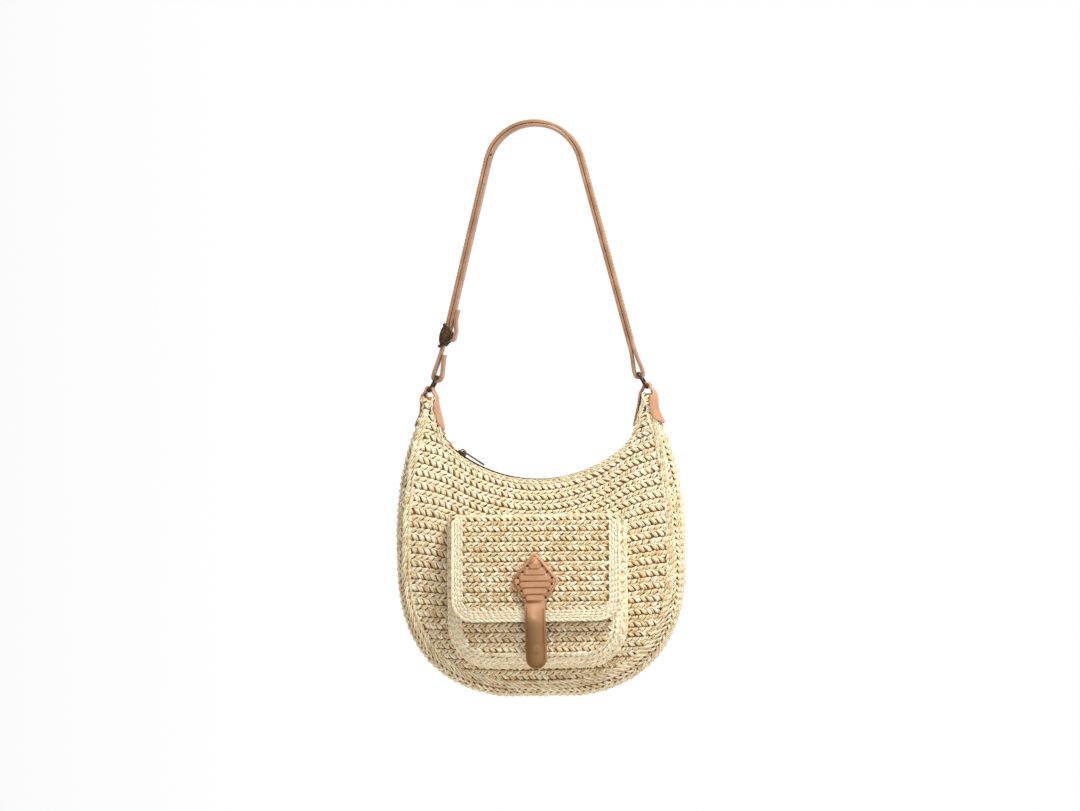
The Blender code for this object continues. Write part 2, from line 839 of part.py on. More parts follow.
def build_pocket(crochet):
    band_outer = ((0.0, 0.6), (2.4, 9.0), (8.0, 16.5), (POCKET_BAND, POCKET_DEPTH))
    band_inner = ((POCKET_BAND, 16.0), (10.6, 13.0), (6.6, 7.6), (4.4, 0.6))
    columns = [pocket_outline(o, 20) for o, d in band_outer + band_inner]
    depths = [d for o, d in band_outer + band_inner]
    rings = []
    for i in range(len(columns[0])):
        ring = []
        for line, d in zip(columns, depths):
            p = line[i]
            bump = swell(p.x) * min(1.0, d / POCKET_DEPTH)
            ring.append(Vector((p.x, front_y(p.x, p.y) - d - bump, p.y)))
        rings.append(ring)
    points, faces = skin(rings)
    make_object("pocket_gusset", points, faces, crochet, smooth=True)

    line = pocket_outline(POCKET_BAND + 0.5, 60)

    def place(p):
        return Vector((p.x, front_y(p.x, p.y) - POCKET_DEPTH - swell(p.x), p.y))

    cut = int(len(line) * 0.28)
    left = [place(p) for p in reversed(resample(line[: cut + 1], 10))]
    right = [Vector((-p.x, p.y, p.z)) for p in left]
    bottom = [place(p) for p in resample(line[cut : len(line) - cut], 14)]
    top = [place(p) for p in resample([line[0], line[-1]], 14)]
    grid = coons(bottom, top, left, right)
    points, faces = sheet_faces(grid)
    front = make_object("pocket_front", points, faces, crochet, outward=(0, -1, 0), smooth=True)
    thicken(front, 4.0)


def flap_point(x, s):
    """A point of the flap's outside: s runs from the bag out, round and down."""
    strip = FLAP_DEPTH - FLAP_ROUND
    turn = FLAP_ROUND * math.pi / 2
    if s < strip:
        depth = FLAP_EDGE_GAP + (strip - FLAP_EDGE_GAP) * s / strip
        z = FLAP_TOP
    elif s < strip + turn:
        a = (s - strip) / FLAP_ROUND
        depth = strip + FLAP_ROUND * math.sin(a)
        z = FLAP_TOP - FLAP_ROUND * (1 - math.cos(a))
    else:
        depth = FLAP_DEPTH
        z = FLAP_TOP - FLAP_ROUND - (s - strip - turn)
    share = min(1.0, depth / FLAP_DEPTH)
    return Vector((x, front_y(x, z) - depth - (swell(x) + 0.3) * share, z))


def flap_face_y(x, z):
    return front_y(x, z) - FLAP_DEPTH - swell(x) - 0.3


def build_flap(crochet):
    strip = FLAP_DEPTH - FLAP_ROUND
    turn = FLAP_ROUND * math.pi / 2
    length = strip + turn + (FLAP_TOP - FLAP_ROUND - FLAP_BOTTOM)
    base = length - FLAP_CORNER
    middle = FLAP_HALF - FLAP_CORNER
    corner = []
    for i in range(9):
        a = math.radians(90 * i / 8)
        x = middle + FLAP_CORNER * math.cos(a)
        corner.append(Vector((x, base + FLAP_CORNER * math.sin(a))))
    low = [Vector((-p.x, p.y)) for p in corner[4:]] + corner[4:][::-1]
    bottom = resample(low, 14)
    stops = [0.0, strip * 0.5, strip, strip + turn * 0.25, strip + turn * 0.5]
    stops += [strip + turn * 0.75, strip + turn]
    lower = stops[-1]
    stops += [lower + (base - lower) * k / 4 for k in range(1, 5)]
    side = [Vector((FLAP_HALF, s)) for s in stops] + corner[1:5]
    side = side[::-1]
    left = [Vector((-p.x, p.y)) for p in side]
    top = resample([left[-1], side[-1]], 14)
    grid = coons(bottom, top, left, side)
    points, faces = sheet_faces([[flap_point(p.x, p.y) for p in row] for row in grid])
    flap = make_object("pocket_flap", points, faces, crochet, outward=(0, -1, 0), smooth=True)
    thicken(flap, FLAP_THICKNESS)
    return flap


# -------------------------------------------------------------------- closure

LACE_ROWS = ((6.0, -459.0), (11.0, -465.3), (16.0, -471.4), (15.8, -478.0), (12.4, -484.8), (9.2, -491.8))


def closure_line():
    """The plane of the diamond: its outside y at a height."""
    top = flap_face_y(0.0, TAB_APEX_Z)
    low = flap_face_y(0.0, TAB_FOLD_Z)
    slope = (low - top) / (TAB_FOLD_Z - TAB_APEX_Z)
    proud = 0.0
    for i in range(13):
        z = TAB_APEX_Z + (TAB_FOLD_Z - TAB_APEX_Z) * i / 12
        for x in (-16.0, -8.0, 0.0, 8.0, 16.0):
            proud = max(proud, top + slope * (z - TAB_APEX_Z) - flap_face_y(x, z))
    gap = 1.6 + TAB_THICKNESS + proud

    def outside(z):
        return top - gap + slope * (z - TAB_APEX_Z)

    return outside


def plate(name, outline, outside, thickness, finish, helper=False):
    """A flat plate: an (x, z) outline whose outside follows outside(z)."""
    front = [Vector((x, outside(z), z)) for x, z in outline]
    back = [Vector((x, outside(z) + thickness, z)) for x, z in outline]
    count = len(outline)
    faces = [tuple(range(count)), tuple(range(count, 2 * count))]
    for i in range(count):
        j = (i + 1) % count
        faces.append((i, j, count + j, count + i))
    return make_object(name, front + back, faces, finish, helper=helper)


def build_closure(leather, metal):
    outside = closure_line()
    right = [(4.0, TAB_APEX_Z - 2.2), (TAB_CORNER_HALF - 2.2, TAB_CORNER_Z + 4.0)]
    right += [(TAB_CORNER_HALF, TAB_CORNER_Z), (TAB_CORNER_HALF - 1.6, TAB_CORNER_Z - 4.5)]
    right += [(14.2, -491.5), (11.6, -496.5), (TAB_HALF, TAB_FOLD_Z + 0.2)]
    outline = [(0.0, TAB_APEX_Z)] + right + [(-x, z) for x, z in reversed(right)]
    diamond = plate("closure_diamond", outline, outside, TAB_THICKNESS, leather)
    points = []
    faces = []
    for half, z in LACE_ROWS:
        for side in (-1, 1):
            base = len(points)
            for y in (-3.0, 3.0):
                for k in range(8):
                    a = 2 * math.pi * (k + 0.5) / 8
                    x = side * half + 1.5 * math.cos(a)
                    points.append(Vector((x, outside(z) + TAB_THICKNESS / 2 + y, z + 1.5 * math.sin(a))))
            for k in range(8):
                m = (k + 1) % 8
                faces.append((base + k, base + m, base + 8 + m, base + 8 + k))
            faces.append(tuple(base + k for k in range(8)))
            faces.append(tuple(base + 8 + k for k in range(8)))
    holes = make_object("cut_lace_holes", points, faces, leather, helper=True)
    combine(diamond, holes, "DIFFERENCE")

    stations = []
    side = -1
    behind = TAB_THICKNESS + 0.75
    for index, (half, z) in enumerate(LACE_ROWS):
        if index == 0:
            stations.append((side * half, TAB_THICKNESS + 0.9, z, "through", (0, -1, 0)))
        stations.append((side * half, 0.2, z, "through", (0, -1, 0)))
        stations.append((side * (half - 0.5), -0.9, z, "turn", (-side, -1, 0)))
        stations.append((side * (half - 2.0), -1.05, z, "bar", (-side, 0, 0)))
        stations.append((-side * (half - 2.0), -1.05, z, "bar", (-side, 0, 0)))
        stations.append((-side * (half - 0.5), -0.9, z, "turn", (-side, 1, 0)))
        stations.append((-side * half, 0.2, z, "through", (0, 1, 0)))
        if index == len(LACE_ROWS) - 1:
            stations.append((-side * half, TAB_THICKNESS + 0.9, z, "through", (0, 1, 0)))
            break
        next_half, next_z = LACE_ROWS[index + 1]
        stations.append((-side * half, behind - 0.5, z, "through", (0, 1, 0)))
        stations.append((-side * half, behind, z - 0.4, "back", (0, 0, -1)))
        stations.append((-side * next_half, behind, next_z + 0.4, "back", (0, 0, -1)))
        stations.append((-side * next_half, behind - 0.5, next_z, "through", (0, -1, 0)))
        side = -side
    sizes = {"through": (0.7, 0.7), "turn": (1.2, 0.6), "bar": (2.6, 0.7), "back": (0.4, 0.8)}
    rings = []
    wide = Vector((0.0, 0.0, 1.0))
    before = Vector((0.0, -1.0, 0.0))
    for x, y, z, kind, run in stations:
        along = Vector(run).normalized()
        wide = before.rotation_difference(along) @ wide
        before = along
        thick = along.cross(wide)
        p = Vector((x, y, z))
        w = wide * sizes[kind][0]
        t = thick * sizes[kind][1]
        ring = [p + w + t, p - w + t, p - w - t, p + w - t]
        rings.append([Vector((q.x, outside(q.z) + q.y, q.z)) for q in ring])
    points, faces = skin(rings)
    lace = make_object("closure_lace", points, faces, leather)

    pocket_y = front_y(0.0, SNAP_Z) - POCKET_DEPTH - SWELL
    snap_y = pocket_y - 3.6 - TAB_THICKNESS
    hem_y = min(flap_face_y(x, FLAP_BOTTOM) for x in (-10.0, 0.0, 10.0)) - 0.8 - TAB_THICKNESS
    hem_y = min(hem_y, outside(TAB_FOLD_Z))
    bends = ((TAB_FOLD_Z, outside(TAB_FOLD_Z)), (FLAP_BOTTOM - 2.0, hem_y))
    bends += ((SNAP_Z + 8.0, snap_y), (TAB_END_Z, snap_y))

    def lower(z):
        for (z0, y0), (z1, y1) in zip(bends, bends[1:]):
            if z >= z1:
                return y0 + (y1 - y0) * (z0 - z) / (z0 - z1)
        return snap_y

    levels = [(TAB_FOLD_Z - 0.3, TAB_HALF), (FLAP_BOTTOM - 2.0, TAB_HALF)]
    levels += [(SNAP_Z + 8.0, TAB_HALF)]
    for i in range(6):
        a = math.radians(84 * i / 5)
        levels.append((TAB_END_Z + TAB_HALF - TAB_HALF * math.sin(a), TAB_HALF * math.cos(a)))
    rings = []
    for z, w in levels:
        y = lower(z)
        back = y + TAB_THICKNESS
        rings.append([Vector((-w, y, z)), Vector((w, y, z)), Vector((w, back, z)), Vector((-w, back, z))])
    points, faces = skin(rings)
    strap = make_object("closure_strap", points, faces, leather)

    def disc(name, radius, y0, y1, helper=False):
        rings = []
        for y in (y0, y1):
            ring = []
            for k in range(20):
                a = 2 * math.pi * k / 20
                ring.append(Vector((radius * math.cos(a), y, SNAP_Z + radius * math.sin(a))))
            rings.append(ring)
        points, faces = skin(rings)
        return make_object(name, points, faces, metal, smooth=False, helper=helper)

    back = lower(SNAP_Z) + TAB_THICKNESS
    stud = disc("snap_stud", 5.5, back + 1.05, back + 1.6)
    nub = disc("join_nub", 2.4, back + 1.5, back + 2.6, helper=True)
    combine(stud, nub, "UNION")
    socket = disc("snap_socket", 6.5, back + 1.95, pocket_y - 0.35)
    recess = disc("cut_recess", 3.2, back + 1.0, pocket_y - 0.7, helper=True)
    combine(socket, recess, "DIFFERENCE")
    return diamond, lace, strap, stud, outside


def carry(name, position, pieces):
    """An empty on a joint axis that carries the pieces of one body."""
    axis = bpy.data.objects.new(name, None)
    axis.location = Vector(position) * MM
    axis.empty_display_size = 0.01
    bpy.context.scene.collection.objects.link(axis)
    bpy.context.view_layer.update()
    for piece in pieces:
        piece.parent = axis
        piece.matrix_parent_inverse = axis.matrix_world.inverted()


def main():
    clear_scene()
    finishes = make_materials()
    crochet = finishes["crochet_straw"]
    leather = finishes["tan_leather"]
    metal = finishes["antique_bronze"]
    build_panels(crochet)
    build_gusset(crochet)
    build_lining(finishes["lining_cotton"])
    build_zip_tapes(finishes["zip_tape"])
    build_chains(metal)
    slider, seat, along, out = build_zip_hardware(metal)
    pull, pivot = build_pull(seat, along, out, metal)
    take_up, fold, middle_off = build_strap(leather)
    buckle = build_adjuster(middle_off, metal)
    rings = build_rings(metal)
    build_side_tabs(leather)
    build_pocket(crochet)
    flap = build_flap(crochet)
    diamond, lace, strap, stud, outside = build_closure(leather, metal)
    carry("axis_adjuster", (*leg_point(-1, BAR_S, 0.0).to_3d().xzy,), [buckle, fold])
    carry("axis_rings", (0.0, 0.0, RING_UPPER[1]), rings)
    carry("axis_zip_slider", (0.0, 0.0, MOUTH_CENTRE_Z), [slider])
    carry("axis_zip_pull", pivot, [pull])
    carry("axis_flap", (0.0, front_y(0.0, FLAP_TOP) - FLAP_EDGE_GAP, FLAP_TOP), [flap, diamond, lace])
    carry("axis_closure", (0.0, outside(TAB_FOLD_Z), TAB_FOLD_Z), [strap, stud])


main()
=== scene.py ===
"""Looks of the hobo bag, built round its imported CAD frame."""
import math

import bmesh
import bpy
import numpy as np
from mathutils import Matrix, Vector
from mathutils.bvhtree import BVHTree


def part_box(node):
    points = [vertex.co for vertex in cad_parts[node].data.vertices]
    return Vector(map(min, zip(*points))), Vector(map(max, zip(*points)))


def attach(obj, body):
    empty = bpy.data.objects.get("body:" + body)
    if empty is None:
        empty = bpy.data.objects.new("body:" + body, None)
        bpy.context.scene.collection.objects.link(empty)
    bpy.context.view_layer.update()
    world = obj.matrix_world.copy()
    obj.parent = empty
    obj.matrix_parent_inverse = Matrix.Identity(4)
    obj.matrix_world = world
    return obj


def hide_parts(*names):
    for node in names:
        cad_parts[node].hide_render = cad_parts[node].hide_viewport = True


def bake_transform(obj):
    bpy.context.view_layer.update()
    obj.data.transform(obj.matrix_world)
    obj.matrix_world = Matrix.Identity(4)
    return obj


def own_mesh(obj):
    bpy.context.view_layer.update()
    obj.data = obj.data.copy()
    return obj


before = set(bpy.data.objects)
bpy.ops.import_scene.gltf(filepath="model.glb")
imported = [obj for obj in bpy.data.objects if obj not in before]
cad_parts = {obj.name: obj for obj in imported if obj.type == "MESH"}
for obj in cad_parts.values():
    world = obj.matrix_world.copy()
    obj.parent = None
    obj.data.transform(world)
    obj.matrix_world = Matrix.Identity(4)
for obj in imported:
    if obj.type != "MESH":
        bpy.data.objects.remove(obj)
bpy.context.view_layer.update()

MM = 0.001
rng = np.random.default_rng(7)

# Crochet stitches, in millimetres
PITCH = 6.9
ROW = 5.2

# Shapes shared with the CAD, in millimetres
LAYER = 3.0
LAYER_OFF = 1.8
ARCH_RADIUS = 47.0
LEG_LENGTH = 205.0
LEG_ANGLE = math.radians(14.2)
MOUTH_CENTRE_Z = -232.5
MOUTH_RADIUS = 138.0
BODY_HALF = 150.0
BODY_CENTRE_Z = -446.0
BODY_POWER = 2.6
SIDE_RISE = 147.0
SIDE_LEAN = 28.0
GUSSET_HALF = 38.0
GUSSET_NARROWS_Z = -500.0
HORN_HALF = 14.0
HORN_TOP_Z = -281.0
POCKET_HALF = 94.0
POCKET_TOP = -415.0
POCKET_BOTTOM = -566.0
POCKET_CORNER = 45.0
FLAP_HALF = 88.5
FLAP_BOTTOM = -517.0
FLAP_CORNER = 24.0
FLAP_ROUND = 7.0
CLOSURE_FOLD_Z = -500.0
SNAP_Z = -545.5

# Rays are cast from this far in front of the bag or behind it, in millimetres
RAY_START = 260.0
RAY_REACH = 320.0

# How much thinner the ground under the stitches is than the CAD's solid, in millimetres
GROUND_SHRINK = 1.9


# ---- materials


def new_material(name):
    made = bpy.data.materials.new(name)
    made.use_nodes = True
    tree = made.node_tree
    shader = tree.nodes["Principled BSDF"]
    return made, tree, shader


def node(tree, kind, inputs=None, **settings):
    made = tree.nodes.new(kind)
    for key, value in settings.items():
        setattr(made, key, value)
    for key, value in (inputs or {}).items():
        made.inputs[key].default_value = value
    return made


def ramp(tree, stops):
    made = tree.nodes.new("ShaderNodeValToRGB")
    band = made.color_ramp
    while len(band.elements) < len(stops):
        band.elements.new(0.5)
    for element, (place, colour) in zip(band.elements, stops):
        element.position = place
        element.color = (*colour, 1.0)
    return made


def rgb(text):
    """A hex colour as linear values."""
    parts = [int(text[i : i + 2], 16) / 255 for i in (0, 2, 4)]
    return tuple(p / 12.92 if p <= 0.04045 else ((p + 0.055) / 1.055) ** 2.4 for p in parts)


def toned(tree, shader, stops, texture, *others):
    """Colours the surface by a texture. It and the others follow the object's coordinates."""
    link = tree.links.new
    where = node(tree, "ShaderNodeTexCoord")
    for each in (texture, *others):
        link(where.outputs["Object"], each.inputs["Vector"])
    tone = ramp(tree, [(place, rgb(shade)) for place, shade in stops])
    link(texture.outputs["Fac"], tone.inputs["Fac"])
    link(tone.outputs["Color"], shader.inputs["Base Color"])


def bumped(tree, shader, height, strength, distance=0.0003):
    bump = node(tree, "ShaderNodeBump", {"Strength": strength, "Distance": distance})
    tree.links.new(height, bump.inputs["Height"])
    tree.links.new(bump.outputs["Normal"], shader.inputs["Normal"])


def straw_material(name, shades, deep):
    """Paper straw: fibres along each strand, a tone per strand, and painted shade in brown where
    it dives under.
    """
    made, tree, shader = new_material(name)
    link = tree.links.new
    fibre = node(tree, "ShaderNodeAttribute", attribute_name="fibre")
    split = node(tree, "ShaderNodeSeparateXYZ")
    link(fibre.outputs["Vector"], split.inputs[0])
    place = node(tree, "ShaderNodeMapping", {"Scale": (0.16, 2.6, 40.0)})
    link(fibre.outputs["Vector"], place.inputs["Vector"])
    streak = node(tree, "ShaderNodeTexNoise", {"Scale": 1.0, "Detail": 4.0, "Roughness": 0.6})
    link(place.outputs["Vector"], streak.inputs["Vector"])
    tone = ramp(tree, [(place, rgb(shade)) for place, shade in shades])
    mix = node(tree, "ShaderNodeMath", {1: 0.42}, operation="MULTIPLY")
    link(split.outputs["Z"], mix.inputs[0])
    add = node(tree, "ShaderNodeMath", {1: 0.5, 2: 0.0}, operation="MULTIPLY_ADD")
    link(streak.outputs["Fac"], add.inputs[0])
    link(mix.outputs[0], add.inputs[2])
    link(add.outputs[0], tone.inputs["Fac"])
    # Strands turn towards the deep brown where they go under others: painted shade.
    dive_shade = node(tree, "ShaderNodeAttribute", attribute_name="tuck_shade")
    blend = node(tree, "ShaderNodeMix", data_type="RGBA")
    blend.inputs["B"].default_value = (*rgb(deep), 1.0)
    link(dive_shade.outputs["Fac"], blend.inputs["Factor"])
    link(tone.outputs["Color"], blend.inputs["A"])
    link(blend.outputs["Result"], shader.inputs["Base Color"])
    bumped(tree, shader, streak.outputs["Fac"], 0.35, 0.0006)
    shader.inputs["Roughness"].default_value = 0.62
    shader.inputs["Sheen Weight"].default_value = 0.15
    return made


def leather_material(name, light, dark, roughness=0.48):
    made, tree, shader = new_material(name)
    grain = node(tree, "ShaderNodeTexVoronoi", {"Scale": 1100.0}, feature="SMOOTH_F1")
    cloud = node(tree, "ShaderNodeTexNoise", {"Scale": 60.0, "Detail": 5.0})
    toned(tree, shader, ((0.3, dark), (0.7, light)), cloud, grain)
    bumped(tree, shader, grain.outputs["Distance"], 0.25)
    shader.inputs["Roughness"].default_value = roughness
    return made


def leather_shaded_below(name, light, dark, top, bottom, darker):
    """Leather whose tone deepens from one height to another, in metres, as painted shade on its
    lower part.
    """
    made = leather_material(name, light, dark)
    tree = made.node_tree
    shader = tree.nodes["Principled BSDF"]
    link = tree.links.new
    where = node(tree, "ShaderNodeTexCoord")
    split = node(tree, "ShaderNodeSeparateXYZ")
    link(where.outputs["Object"], split.inputs[0])
    share = node(tree, "ShaderNodeMapRange", {"From Min": top, "From Max": bottom})
    link(split.outputs["Z"], share.inputs["Value"])
    blend = node(tree, "ShaderNodeMix", data_type="RGBA")
    blend.inputs["B"].default_value = (*rgb(darker), 1.0)
    link(share.outputs["Result"], blend.inputs["Factor"])
    link(shader.inputs["Base Color"].links[0].from_socket, blend.inputs["A"])
    link(blend.outputs["Result"], shader.inputs["Base Color"])
    return made


def cloth_material(name, light, dark, scale=900.0):
    made, tree, shader = new_material(name)
    weave = node(tree, "ShaderNodeTexNoise", {"Scale": scale, "Detail": 2.0})
    toned(tree, shader, ((0.35, dark), (0.65, light)), weave)
    bumped(tree, shader, weave.outputs["Fac"], 0.3)
    shader.inputs["Roughness"].default_value = 0.9
    return made


def metal_material(name, light, dark):
    made, tree, shader = new_material(name)
    cloud = node(tree, "ShaderNodeTexNoise", {"Scale": 350.0, "Detail": 4.0})
    toned(tree, shader, ((0.35, dark), (0.7, light)), cloud)
    shader.inputs["Metallic"].default_value = 0.9
    shader.inputs["Roughness"].default_value = 0.34
    return made


STRAW_SHADES = ((0.22, "CBAA76"), (0.42, "E4CDA2"), (0.60, "F2E3C2"), (0.85, "FCF5E2"))
# The straw's last colour, a brown, is painted shade where strands go under.
STRAW = straw_material("straw", STRAW_SHADES, "946633")
# The brown seen through the crochet's holes: the lining's tone, darkened with painted shade.
GROUND_AND_SHADE = cloth_material("crochet_ground_shade", "A1733F", "7C552B", 300.0)
LINING = cloth_material("lining_cotton", "B58F66", "8F6C48")
TAPE = cloth_material("zip_tape_weave", "B08A62", "94714C", 1500.0)
LEATHER = leather_material("tan_leather_grain", "C4926A", "B27F58")
STRAP_LEATHER = leather_material("strap_leather_grain", "B28663", "936A48", 0.42)
THREAD = cloth_material("thread", "C9A277", "A9845C", 4000.0)
# The closure's tongue deepens in tone towards its end: painted shade.
CLOSURE_LEATHER = leather_shaded_below("closure_leather", "C4926A", "B8845A", -0.492, -0.525, "8E6538")
SEAM_THREAD = cloth_material("seam_thread", "8A5A34", "6B4022", 4000.0)
# Near black for the lace's holes: painted shade.
HOLE_SHADE = cloth_material("punched_hole_shade", "2E1B10", "1E120A", 900.0)
BRONZE = metal_material("antique_bronze_worn", "6A5238", "3A2C1E")


# ---- primitives


def add_object(name, data):
    made = bpy.data.objects.new(name, data)
    bpy.context.scene.collection.objects.link(made)
    return made


def make_mesh(name, points, faces, finish):
    """A smooth object of one material, from points in millimetres."""
    mesh = bpy.data.meshes.new(name)
    points = np.asarray(points, dtype=float) * MM
    mesh.from_pydata(points.tolist(), [], [tuple(f) for f in faces])
    mesh.materials.append(finish)
    mesh.polygons.foreach_set("use_smooth", [True] * len(mesh.polygons))
    mesh.update()
    return add_object(name, mesh)


def edit(mesh, change):
    """Changes a mesh through a bmesh."""
    built = bmesh.new()
    built.from_mesh(mesh)
    change(built)
    built.to_mesh(mesh)
    built.free()


def face_outward(built):
    bmesh.ops.recalc_face_normals(built, faces=built.faces)


def unit(a):
    return a / np.maximum(np.linalg.norm(a, axis=-1, keepdims=True), 1e-9)


def lengths_along(points):
    """How far along a line each of its points lies."""
    return np.concatenate([[0], np.cumsum(np.linalg.norm(np.diff(points, axis=0), axis=1))])


def point_at(s, run, points):
    """The point of a line that far along it, or one point for each s."""
    return np.stack([np.interp(s, run, column) for column in np.transpose(points)], axis=-1)


def edge_at(s, run, edge, step):
    """The point that far along an edge in the front plane, and the way out of it there."""
    x, z = point_at(s, run, edge)
    dx, dz = point_at(s + step, run, edge) - point_at(s - step, run, edge)
    length = math.hypot(dx, dz)
    return x, z, dz / length, -dx / length


def tube_faces(rings, sides):
    """The faces of a capped tube whose points lie in rings, one ring after another."""
    faces = []
    for i in range(rings - 1):
        for k in range(sides):
            m = (k + 1) % sides
            faces.append((i * sides + k, i * sides + m, (i + 1) * sides + m, (i + 1) * sides + k))
    faces.append(tuple(reversed(range(sides))))
    faces.append(tuple((rings - 1) * sides + k for k in range(sides)))
    return faces


def circle(centre, side, up, radius, sides):
    turns = [2 * math.pi * k / sides for k in range(sides)]
    return [centre + radius * (side * math.cos(a) + up * math.sin(a)) for a in turns]


class Surface:
    """The outside of CAD nodes, found by casting rays, in millimetres."""

    def __init__(self, *names):
        points = []
        faces = []
        for name in names:
            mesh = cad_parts[name].data
            base = len(points)
            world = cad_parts[name].matrix_world
            points += [(world @ v.co) / MM for v in mesh.vertices]
            faces += [[i + base for i in p.vertices] for p in mesh.polygons]
        self.tree = BVHTree.FromPolygons(points, faces)

    def cast(self, start, way, reach=400.0):
        """The first point that a ray meets, or that a ray just beside it does, and its normal."""
        for dx, dz in ((0, 0), (0.7, 0), (-0.7, 0), (0, 0.7), (0, -0.7)):
            begin = Vector((start[0] + dx, start[1], start[2] + dz))
            place, normal, _, _ = self.tree.ray_cast(begin, Vector(way), reach)
            if place is not None:
                break
        else:
            return None, None
        normal = np.array(normal)
        if normal @ np.array(way) > 0:
            normal = -normal
        return np.array(place), normal

    def face(self, x, z, side=-1.0, reach=RAY_REACH):
        """The point seen from the front at x and z, or from behind where side is 1."""
        return self.cast((x, side * RAY_START, z), (0.0, -side, 0.0), reach)


FRONT = Surface("front_panel", "gusset")
BACK = Surface("back_panel", "gusset")
GUSSET = Surface("gusset")


# ---- crochet


def strand_template(path, radius_t, radius_n, sides=5):
    """Rings of a tube in stitch space: t in pitches, b in rows, n in millimetres."""
    path = np.array(path, dtype=float)
    scale = np.array([PITCH, ROW, 1.0])
    real = path * scale
    along = unit(np.gradient(real, axis=0))
    rings = []
    run = lengths_along(real)
    around = []
    for i, p in enumerate(real):
        side = np.cross([0, 0, 1.0], along[i])
        side /= np.linalg.norm(side)
        up = np.cross(along[i], side)
        for k in range(sides):
            a = 2 * math.pi * k / sides + math.pi / 2
            rings.append(p + side * math.cos(a) * radius_t[i] + up * math.sin(a) * radius_n[i])
            around.append((run[i], a * radius_t[len(path) // 2]))
    return np.array(rings) / scale, tube_faces(len(path), sides), np.array(around)


def leg(start, end, height, wide, low=-1.3, thick=1.25, slim=0.45):
    """One strand of a stitch: dives at both ends and stands proud in between."""
    path = []
    wides = []
    thicks = []
    for s in (0.0, 0.2, 0.5, 0.8, 1.0):
        rise = math.sin(math.pi * s) ** 0.8
        across = start[0] + (end[0] - start[0]) * s
        path.append((across, start[1] + (end[1] - start[1]) * s, low + height * rise))
        full = slim + (1 - slim) * math.sin(math.pi * s) ** 0.6
        wides.append(wide * full)
        thicks.append(thick * full)
    return strand_template(path, wides, thicks)


def leaning(way, chained):
    """A single crochet: two legs that lean one way, and on every other row a chain on top."""
    top = 0.50 if chained else 0.33
    legs = [
        leg((-0.60 * way, top), (0.20 * way, -0.52), 2.5, 1.5, slim=0.6),
        leg((-0.16 * way, top - 0.04), (0.46 * way, -0.52), 1.5, 1.2, slim=0.6),
    ]
    if chained:
        legs += [
            leg((-0.66, 0.30), (0.46, 0.46), 2.1, 0.95, thick=1.0, slim=0.7),
            leg((-0.30, 0.54), (0.66, 0.34), 1.9, 0.85, thick=0.9, slim=0.7),
        ]
    else:
        legs.append(leg((-0.55, 0.06), (0.55, 0.26), 1.6, 0.8, thick=0.8, slim=0.6))
    return legs


LEAN_BACK = leaning(1, True)
LEAN_FORWARD = leaning(-1, False)
SMOOTH = [
    leg((-0.66, 0.24), (0.66, -0.28), 1.9, 1.9, low=-0.9, slim=0.7),
    leg((-0.62, -0.36), (0.54, 0.46), 1.5, 1.6, low=-1.0, slim=0.7),
    leg((-0.34, 0.52), (0.66, 0.28), 1.4, 1.4, low=-0.9, slim=0.7),
]
ROPE = [leg((-0.75, 0.42), (0.75, -0.42), 1.0, 1.5, low=-0.2, thick=1.6, slim=0.5)]


class Crochet:
    """Collects stitches, then makes one mesh of them."""

    def __init__(self, name):
        self.name = name
        self.points = []
        self.faces = []
        self.fibre = []
        self.tuck_shade = []
        self.count = 0

    def stitches(self, centres, tangents, ups, normals, templates, lift=0.0, deep=0.72, pale_and_lit=0.0):
        """Places the templates at many frames. Lengths of tangents and ups carry the scale."""
        if not len(centres):
            return
        centres, tangents, ups, normals = map(np.asarray, (centres, tangents, ups, normals))
        count = len(centres)
        for rings, faces, around in templates:
            wobble = rng.normal(0, 0.04, (count, 3)) * np.array([1.0, 1.0, 2.2])
            size = 1 + rng.normal(0, 0.05, (count, 1, 1))
            middle = rings.mean(axis=0)[None, None]
            local = middle + (rings[None] - middle) * size + wobble[:, None, :]
            placed = (
                centres[:, None]
                + local[:, :, 0:1] * tangents[:, None]
                + local[:, :, 1:2] * ups[:, None]
                + (local[:, :, 2:3] + lift) * normals[:, None]
            )
            base = rng.random(count) * 50
            fibre = np.empty((count, len(rings), 3))
            fibre[:, :, 0] = around[None, :, 0] + base[:, None]
            fibre[:, :, 1] = around[None, :, 1] + base[:, None] * 0.7
            # Each strand's tone, lifted towards the light end: a paler trim on edges, and painted
            # light on the panels' top rows.
            fibre[:, :, 2] = (pale_and_lit + (1 - pale_and_lit) * rng.random(count))[:, None]
            # How far each point lies below the fabric, scaled by deep: the strength of the painted
            # shade where strands go under.
            sunk_shade = np.clip((0.1 - local[:, :, 2]) / 1.9, 0, 1) ** 1.4 * deep
            self.points.append(placed.reshape(-1, 3))
            self.fibre.append(fibre.reshape(-1, 3))
            self.tuck_shade.append(sunk_shade.reshape(-1))
            size_one = len(rings)
            for i in range(count):
                start = self.count + i * size_one
                self.faces += [tuple(k + start for k in f) for f in faces]
            self.count += count * size_one

    def build(self, body):
        made = make_mesh(self.name, np.concatenate(self.points), self.faces, STRAW)
        fibre = made.data.attributes.new("fibre", "FLOAT_VECTOR", "POINT")
        fibre.data.foreach_set("vector", np.concatenate(self.fibre).astype(np.float32).ravel())
        tuck_shade = made.data.attributes.new("tuck_shade", "FLOAT", "POINT")
        tuck_shade.data.foreach_set("value", np.concatenate(self.tuck_shade).astype(np.float32))
        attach(made, body)


